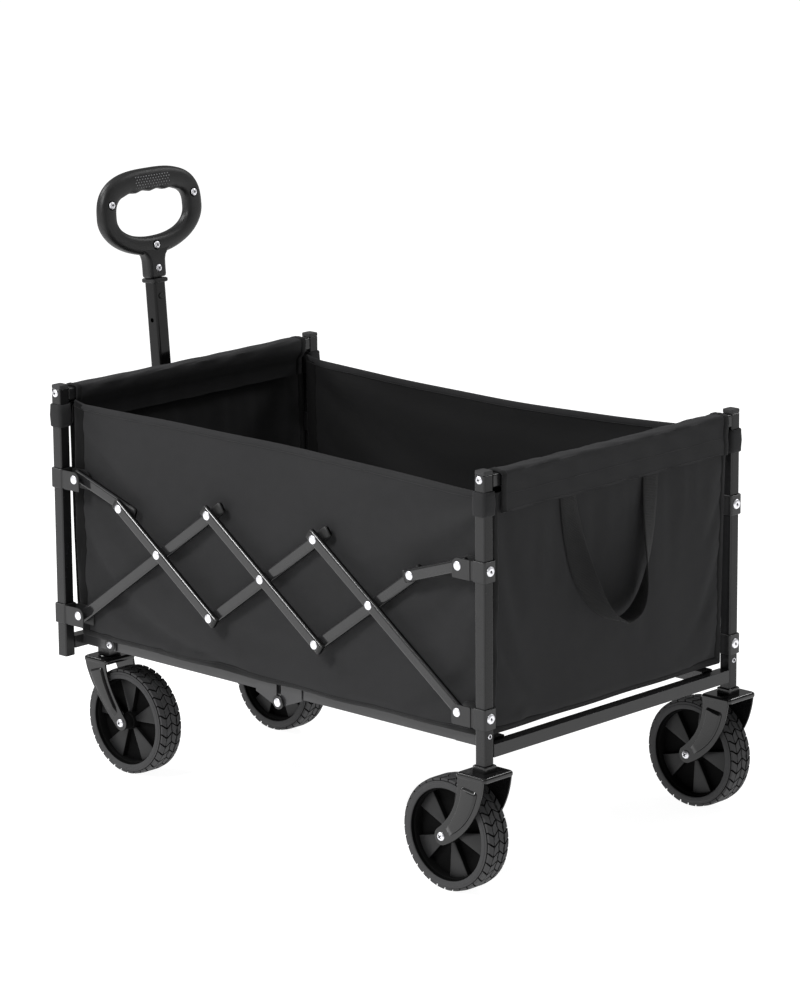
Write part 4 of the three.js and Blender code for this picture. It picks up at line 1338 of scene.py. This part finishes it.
def cloth_object(name, grid, size, thickness=CLOTH):
    """A closed sheet of cloth on a grid, with a UV map in metres of cloth."""
    rows, columns = len(grid) - 1, len(grid[0]) - 1
    width, normals = columns + 1, grid_normals(grid)
    vertices = []
    for sign in (1, -1):
        vertices += [p + n * (sign * thickness / 2)
                     for line, turns in zip(grid, normals) for p, n in zip(line, turns)]
    count = (rows + 1) * width
    front = grid_faces(columns, rows)
    faces = front + [tuple(count + i for i in reversed(face)) for face in front]
    border = [*range(width), *(j * width + columns for j in range(1, rows + 1))]
    border += [rows * width + i for i in range(columns - 1, -1, -1)]
    border += [j * width for j in range(rows - 1, 0, -1)]
    for a, b in zip(border, border[1:] + border[:1]):
        faces.append((b, a, count + a, count + b))

    def spread(index, point):
        j, i = divmod(index % count, width)
        return size[0] * i / columns, size[1] * j / rows

    return lay_out(solid(name, (vertices, faces), sharp_degrees=SOFT_CREASE), spread)


def run_lengths(line):
    """How far along a line of points each of them is."""
    lengths = [0.0]
    for a, b in zip(line, line[1:]):
        lengths.append(lengths[-1] + (b - a).length)
    return lengths


def edge_wrap(name, edge, inner, half):
    """A folded strip, 2 * half thick, over a cloth's edge, from the line inner out to the line edge."""
    rings = []
    for i, (e, f) in enumerate(zip(edge, inner)):
        along = (edge[min(i + 1, len(edge) - 1)] - edge[max(i - 1, 0)]).normalized()
        out = (e - f).normalized()
        normal = along.cross(out).normalized()
        section = [(f, 0.35), (f + out * 0.0015, 0.92), (f.lerp(e, 0.5), 1.0), (e, 0.96),
                   (e + out * (half * 0.75), 0.6)]
        ring = [p + normal * (half * share) for p, share in section]
        ring.append(e + out * half)
        ring += [p - normal * (half * share) for p, share in reversed(section)]
        rings.append(ring)
    count = len(rings[0])
    lengths = run_lengths(edge)

    def spread(index, point):
        i, j = divmod(index, count)
        return lengths[i], STRIP_PITCH * j

    return lay_out(solid(name, loft(rings), sharp_degrees=SOFT_CREASE), spread)


def upright_strips(grid, names, inside, half, body, material):
    """Strips over a grid's first and last columns, which reach in to the two inside columns."""
    strips = []
    for name, column, inner in zip(names, (0, -1), inside):
        strip = edge_wrap(name, [row[column] for row in grid], [row[inner] for row in grid], half)
        strips.append(piece(strip, body, "fabric", material=material))
    return strips


def stitch_part(line, normals, pitch=0.0042, length=0.0030, radius=0.00034):
    """Short threads laid along a line of points, just proud of the cloth."""
    parts, travelled, target = [], 0.0, pitch / 2
    for (a, na), (b, _) in zip(zip(line, normals), zip(line[1:], normals[1:])):
        span = (b - a).length
        while target < travelled + span:
            spot = a.lerp(b, (target - travelled) / span) + na * (radius * 0.5)
            along = (b - a).normalized() * (length / 2)
            side = na.cross(along).normalized() * radius
            up = na * radius
            back, ahead = spot - along * 0.6, spot + along * 0.6
            tips = [spot - along, back + up, back - side, back + side,
                    ahead + up, ahead - side, ahead + side, spot + along]
            faces = [(0, 2, 1), (0, 1, 3), (1, 2, 5, 4), (3, 1, 4, 6), (4, 5, 7), (6, 4, 7)]
            parts.append((tips, faces))
            target += pitch
        travelled += span
    return joined(parts)


def add_stitches(name, lines, body):
    """Lines of stitching as one piece; each line is (points, normals)."""
    stitches = joined([stitch_part(*line) for line in lines])
    return piece(solid(name, stitches), body, "fabric", material=THREAD)


def squash_side(made):
    """Gives a side's piece a mesh of its own."""
    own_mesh(made)


HEM = {"left": (0.565, 0.5735, 0.556), "right": (0.559, 0.5374, 0.566)}     # front, middle control, rear
HEM_FLAT = 0.5565                # the height that the flat cloth reaches
REAR_GAP = {"left": 0.0, "right": 0.0100}      # between a side's rear edge and the CAD panel's
SIDE_ROOM = 0.0055               # how far a side may bulge before it meets the folded frame's brackets


def side_top(side, u):
    """Height of a side's hem along its length."""
    front, middle, rear = HEM[side]
    return (1 - u) ** 2 * front + 2 * u * (1 - u) * middle + u * u * rear


def side_ripple(u, v):
    """How far a side stands out: low ripples, and a bulge that closes at its edges."""
    ripple = 0.0018 * math.sin(7 * u + 1.3) * math.sin(math.pi * v) + 0.0009 * math.sin(23 * u + 5 * v)
    ripple += 0.0013 * math.sin(11 * u - 8 * v) * math.sin(math.pi * u)
    return ripple + 0.0028 * min(1, 6 * u, 6 * (1 - u), 8 * v)


def side_grid(side, sy):
    """A side's middle surface, draped, and its flat size."""
    low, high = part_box(f"side_panel_{side}")
    y = (low.y + high.y) / 2
    bottom = low.z - 0.001
    rear = high.x - REAR_GAP[side]

    def place(u, v):
        start = low.x + 0.0025 + 0.0070 * (1 - v) ** 5
        droop = 0.0009 * (1 - v) ** 6 * (1 + math.sin(31 * u)) * math.sin(math.pi * u)
        height = bottom + (side_top(side, u) - bottom) * v - droop
        return start + (rear - start) * u, y + sy * side_ripple(u, v), height

    grid = cloth_grid(90, 38, place)
    grid = draped(grid, lambda u, v: u < 0.006 or u > 0.994 or v < 0.01)
    for point in (p for row in grid for p in row):
        point.y = sy * min(max(sy * point.y, sy * y - 0.0002), sy * y + SIDE_ROOM)
    return grid, (rear - low.x, HEM_FLAT - bottom)


def side_wraps(side, grid):
    """The hem and the bottom binding of a side."""
    hem = edge_wrap(f"side_hem_{side}", grid[-1], grid[-2], CLOTH * 1.15)
    binding = edge_wrap(f"side_binding_{side}", grid[0], grid[1], CLOTH * 1.25)
    return piece(hem, "rear_frame", "fabric"), piece(binding, "rear_frame", "fabric", material=BINDING)


def side_seams(grid):
    """Lines of stitches along a side's hem and its foot, on both faces."""
    normals = grid_normals(grid)
    lines = []
    for row, edge, offset in ((-2, -1, 0.0022), (1, 0, 0.0018)):
        for sign in (-1, 1):
            turned = [n * sign for n in normals[row]]
            line = [p.lerp(q, 0.16) + n * offset for p, q, n in zip(grid[row], grid[edge], turned)]
            lines.append((line, turned))
    return lines


def make_side(side, sy):
    grid, size = side_grid(side, sy)
    sheet = cloth_object(f"side_cloth_{side}", grid, size)
    # the inner faces get the darker cloth: painted shade inside the tub
    darken_walls(sheet.data, LOOKS["fabric"], TUB_INNER_SHADE, lambda face: face.normal.y * sy < -0.5)
    piece(sheet, "rear_frame", "fabric", f"side_panel_{side}")
    stitches = add_stitches(f"side_stitches_{side}", side_seams(grid), "rear_frame")
    # the edge strips are painted near-black as the shadow beside the posts
    names = [f"side_edging_{spot}_{side}" for spot in ("front", "rear")]
    shadow_edgings = upright_strips(grid, names, (2, -2), CLOTH * 1.2, "rear_frame", EDGE_SHADOW_TAPE)
    trim = [*side_wraps(side, grid), stitches, *shadow_edgings]
    for made in (sheet, *trim):
        squash_side(made)


BAND_BOTTOM, BAND_TOP = 0.529, 0.562
BAND_OUTSIDE, BAND_INSIDE = TUBE + 0.0058, TUBE + 0.0008


def make_post_bands():
    """The loops of fabric that hold the tub's corners to the posts."""
    bottom, top = BAND_BOTTOM, BAND_TOP
    stations = ((bottom, 0.0008), (bottom + 0.0008, 0), (bottom + 0.006, -0.0001),
                ((bottom + top) / 2, -0.0007), (top - 0.006, -0.0001), (top - 0.0008, 0), (top, 0.0008))
    rings = [section_ring(BAND_OUTSIDE - 2 * e, BAND_OUTSIDE - 2 * e, 0.0052, z) for z, e in stations]
    rings += [section_ring(BAND_INSIDE, BAND_INSIDE, 0.0028, z) for z in (top, bottom)]
    for (end, side), place in POST.items():
        band = solid(f"{end}_post_band_{side}", loft(rings, wrap=True), (place.x, place.y, 0), SOFT_CREASE)
        lay_out(band, lambda index, point: (point.x + point.y, point.z))
        piece(band, f"{end}_frame", "fabric")


# ---- tub ends ------------------------------------------------------------------------------------
RAIL = {end: centre_of(f"{end}_top_rail") for end, _ in ENDS}
SLEEVE_HALF = 0.2345             # half length of the sleeve over a top rail
SLEEVE_GAP = 0.0034              # between the rail and the cloth round it
SLEEVE_FOOT = 0.530              # lower edge of a sleeve
SEAMS = (0.533, 0.555)           # heights of a sleeve's two rows of stitches
END_GAPS = {"front": (0.0165, 0.0), "rear": (0.0, 0.012)}   # at a wall's left and right edges


def end_profile(v):
    """How far out an end cloth stands from its rail's middle plane, from its bottom (0) to its top (1)."""
    return 0.0005 + 0.0085 * v ** 1.4


def end_grid(end, ex):
    """An end wall's middle surface, draped, and its flat size."""
    rail = RAIL[end]
    low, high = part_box(f"end_panel_{end}")
    left_gap, right_gap = END_GAPS[end]
    left = left_gap - high.y - 0.0015
    size = (2 * (high.y + 0.0015) - left_gap - right_gap, rail.z - TUBE / 2 - 0.008 - low.z)

    def place(u, v):
        ripple = 0.0014 * math.sin(11 * u + 0.7) * math.sin(math.pi * v) + 0.001 * math.sin(19 * u + 4 * v)
        return rail.x + ex * (end_profile(v) + ripple), left + size[0] * u, low.z + size[1] * v

    grid = cloth_grid(56, 38, place)
    return draped(grid, lambda u, v: u < 0.01 or u > 0.99 or v < 0.01 or v > 0.99), size


def make_end(end, ex):
    body = f"{end}_frame"
    grid, size = end_grid(end, ex)
    sheet = cloth_object(f"end_cloth_{end}", grid, size)
    piece(sheet, body, "fabric", f"end_panel_{end}")
    binding = edge_wrap(f"end_binding_{end}", grid[0], grid[1], CLOTH * 1.3)
    pieces = [piece(binding, body, "fabric", material=BINDING)]
    names = [f"end_piping_{end}_{side}" for side, _ in SIDES]
    pieces += upright_strips(grid, names, (1, -2), CLOTH * 1.3, body, BINDING)
    make_sleeve(end, ex, body)


def sleeve_path(rail, ex):
    """Once round a top rail: up outside, over the top, down inside, and in to the seam below."""
    out = TUBE / 2 + SLEEVE_GAP
    foot, crown = rail.z - TUBE / 2, rail.z + out
    between = (SEAMS[0] + SEAMS[1]) / 2
    path = [(0.0122, SLEEVE_FOOT), (0.0124, SEAMS[0]), (0.0128, between), (0.0124, SEAMS[1])]
    path += [(out + 0.0004, foot), (out, rail.z)]
    path += arc((out - 0.005, crown - 0.0066), 0.005, 0, 90, 4)
    path += [(0, crown - 0.0012)]
    path += arc((-out + 0.005, crown - 0.0066), 0.005, 90, 180, 4)
    path += [(-out, rail.z), (-out + 0.001, foot), (-0.0028, SEAMS[1]), (-0.0014, SLEEVE_FOOT)]
    return [Vector((rail.x + ex * x, 0, z)) for x, z in path]


def sleeve_line(point, j, ex, columns=60):
    """Line j of a sleeve along its rail, counted from its outer foot over the rail to its inner one."""
    line = []
    for i in range(columns + 1):
        y = SLEEVE_HALF * (2 * i / columns - 1)
        pull = 0.0008 * math.sin(31 * y * 3 + j * 0.8) + 0.0006 * math.sin(71 * y + 2.1 * j)
        sag = -0.0012 * math.cos(math.pi * y / (2 * SLEEVE_HALF)) if 7 < j < 15 else 0
        line.append(point + Vector((ex * pull * (1 if j < 8 else -0.6), y, pull * 0.6 + sag)))
    return line


def make_sleeve(end, ex, body):
    path = sleeve_path(RAIL[end], ex)
    grid = [sleeve_line(point, j, ex) for j, point in enumerate(path)]
    size = (2 * SLEEVE_HALF, run_lengths(path)[-1])
    sheet = cloth_object(f"rail_sleeve_{end}", grid, size)
    piece(sheet, body, "fabric")
    for column, side, inward in ((0, "left", 0.009), (-1, "right", -0.009)):
        edge = [row[column] for row in grid]
        inner = [point + Vector((0, inward, 0)) for point in edge]
        strip = edge_wrap(f"sleeve_binding_{end}_{side}", edge, inner, CLOTH * 1.1)
        piece(strip, body, "fabric", material=BINDING)
    outward = [Vector((ex, 0, 0))] * len(grid[0])
    lines = [([p + n * CLOTH * 0.6 for p, n in zip(grid[row], outward)], outward) for row in (1, 3)]
    add_stitches(f"sleeve_stitches_{end}", lines, body)


# ---- tub floor -----------------------------------------------------------------------------------
FLOOR_HALF = 0.2371              # half width of the floor cloths
MIDDLE_LAP = 0.0017              # floor cloth past its board, toward the other half


def make_floor_half(end, ex):
    """A padded board in its fabric cover, and the cloth over it."""
    low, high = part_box(f"floor_board_{end}")
    middle = (low + high) / 2
    length, width = high.x - low.x, high.y - low.y
    name = f"floor_pad_{end}"
    part = rounded_block(length, width, 0.012, low.z - middle.z, high.z - middle.z, 0.0022)
    made = solid(name, part, middle)
    lay_out(made, lambda index, point: (point.x, point.y))
    piece(flat_faces(made), f"base_{end}", "board", f"floor_board_{end}")
    near = low.x if ex < 0 else low.x - MIDDLE_LAP
    size = (length + MIDDLE_LAP, 2 * FLOOR_HALF)

    def place(u, v):
        x, y = near + size[0] * u, FLOOR_HALF * (2 * v - 1)
        ripple = 0.0005 * math.sin(40 * x + 7 * v) * math.sin(31 * y)
        return x, y, high.z + 0.0016 + ripple

    sheet = cloth_object(f"floor_cloth_{end}", cloth_grid(34, 46, place), size)
    piece(sheet, f"base_{end}", "fabric")
    make_floor_strip(end, ex, high.x if ex > 0 else low.x, high.z)


def make_floor_strip(end, ex, start, height):
    """The cloth between the folding floor and an end of the tub, hanging a little."""
    stop = RAIL[end].x - ex * 0.001

    def place(u, v):
        x = start + ex * 0.0003 + (stop - start - ex * 0.0003) * u
        return x, FLOOR_HALF * (2 * v - 1), height + 0.001 - 0.004 * math.sin(math.pi * u) + 0.005 * u * u

    grid = cloth_grid(8, 46, place)
    if ex < 0:
        grid = [list(reversed(line)) for line in grid]
    size = (abs(stop - start), 2 * FLOOR_HALF)
    sheet = cloth_object(f"floor_strip_{end}", grid, size)
    piece(sheet, f"{end}_frame", "fabric")
    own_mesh(sheet)


# ---- carry strap ---------------------------------------------------------------------------------
STRAP_WIDTH = 0.032
STRAP_THICKNESS = 0.0019
STRAP_LEFT, STRAP_RIGHT = -0.103, 0.071     # its two seams across the rear wall
STRAP_SEAM, STRAP_LOW = 0.538, 0.353        # heights of the seams and of the loop's foot
STRAP_TWIST = 82                 # degrees, at the bottom of the loop
STRAP_SECTION = ((-1, 0.4), (-0.95, 1), (-0.5, 1.05), (0, 1.08), (0.5, 1.05), (0.95, 1), (1, 0.4))


def strap_line():
    """The strap's middle line, from its left seam down round the loop and up to its right seam."""
    face = RAIL["rear"].x + 0.0125
    tuck = face - 0.0017
    turn = (face + 0.017, -0.012, STRAP_LOW - 0.012)
    down = bezier([(tuck, STRAP_LEFT, STRAP_SEAM), (face + 0.002, STRAP_LEFT + 0.004, 0.46),
                   (face + 0.014, STRAP_LEFT + 0.030, 0.36), turn], 22)
    up = bezier([turn, (face + 0.020, STRAP_RIGHT - 0.016, STRAP_LOW - 0.014),
                 (face + 0.005, STRAP_RIGHT - 0.014, 0.45), (tuck, STRAP_RIGHT, STRAP_SEAM)], 22)
    return down + up[1:]


def strap_ring(point, ahead, share, section):
    """The strap's section at a point; it twists as it comes round the loop."""
    turn = math.radians(STRAP_TWIST) * math.sin(math.pi * share) ** 2
    wide = Y_AXIS * math.cos(turn) * (1 if share < 0.5 else -1) + X_AXIS * math.sin(turn)
    wide = (wide - ahead * wide.dot(ahead)).normalized()
    normal = ahead.cross(wide)
    return [point + wide * (u * STRAP_WIDTH / 2) + normal * (w * STRAP_THICKNESS / 2) for u, w in section]


def make_strap():
    line = strap_line()
    last = len(line) - 1
    section = [*STRAP_SECTION, *((u, -w) for u, w in reversed(STRAP_SECTION))]
    rings = []
    for i, point in enumerate(line):
        ahead = (line[min(i + 1, last)] - line[max(i - 1, 0)]).normalized()
        rings.append(strap_ring(point, ahead, i / last, section))
    lengths = run_lengths(line)

    def spread(index, point):
        i, j = divmod(index, len(section))
        return STRAP_WIDTH * (1 + section[j][0]) / 2, lengths[i]

    made = lay_out(solid("carry_strap", loft(rings), sharp_degrees=SOFT_CREASE), spread)
    piece(made, "rear_frame", "fabric", material=WEBBING)


# ---- floor of the studio and assembly ------------------------------------------------------------
GROUND_HALF = 30


def make_ground():
    corners = [(x * GROUND_HALF, y * GROUND_HALF, 0) for x, y in ((-1, -1), (1, -1), (1, 1), (-1, 1))]
    ground = solid("ground", (corners, [(0, 1, 2, 3)]))
    ground.data.materials.append(pale_floor("pale_floor"))


make_camera()
make_studio()
make_posts()
make_top_rails()
make_bars()
make_brackets()
make_side_rivets()
make_end_rivets()
for end, _ in ENDS:
    soften_node(f"{end}_bottom_rail", LOOKS["frame_metal"])
    finish_arms(end)
    soften_node(f"base_frame_{end}", BASE_METAL)
make_base_bolts()
make_wheels()
make_forks()
make_grip()
make_handle_tubes()
for side, sy in SIDES:
    make_side(side, sy)
make_post_bands()
for end, ex in ENDS:
    make_end(end, ex)
for end, ex in ENDS:
    make_floor_half(end, ex)
make_strap()
make_ground()
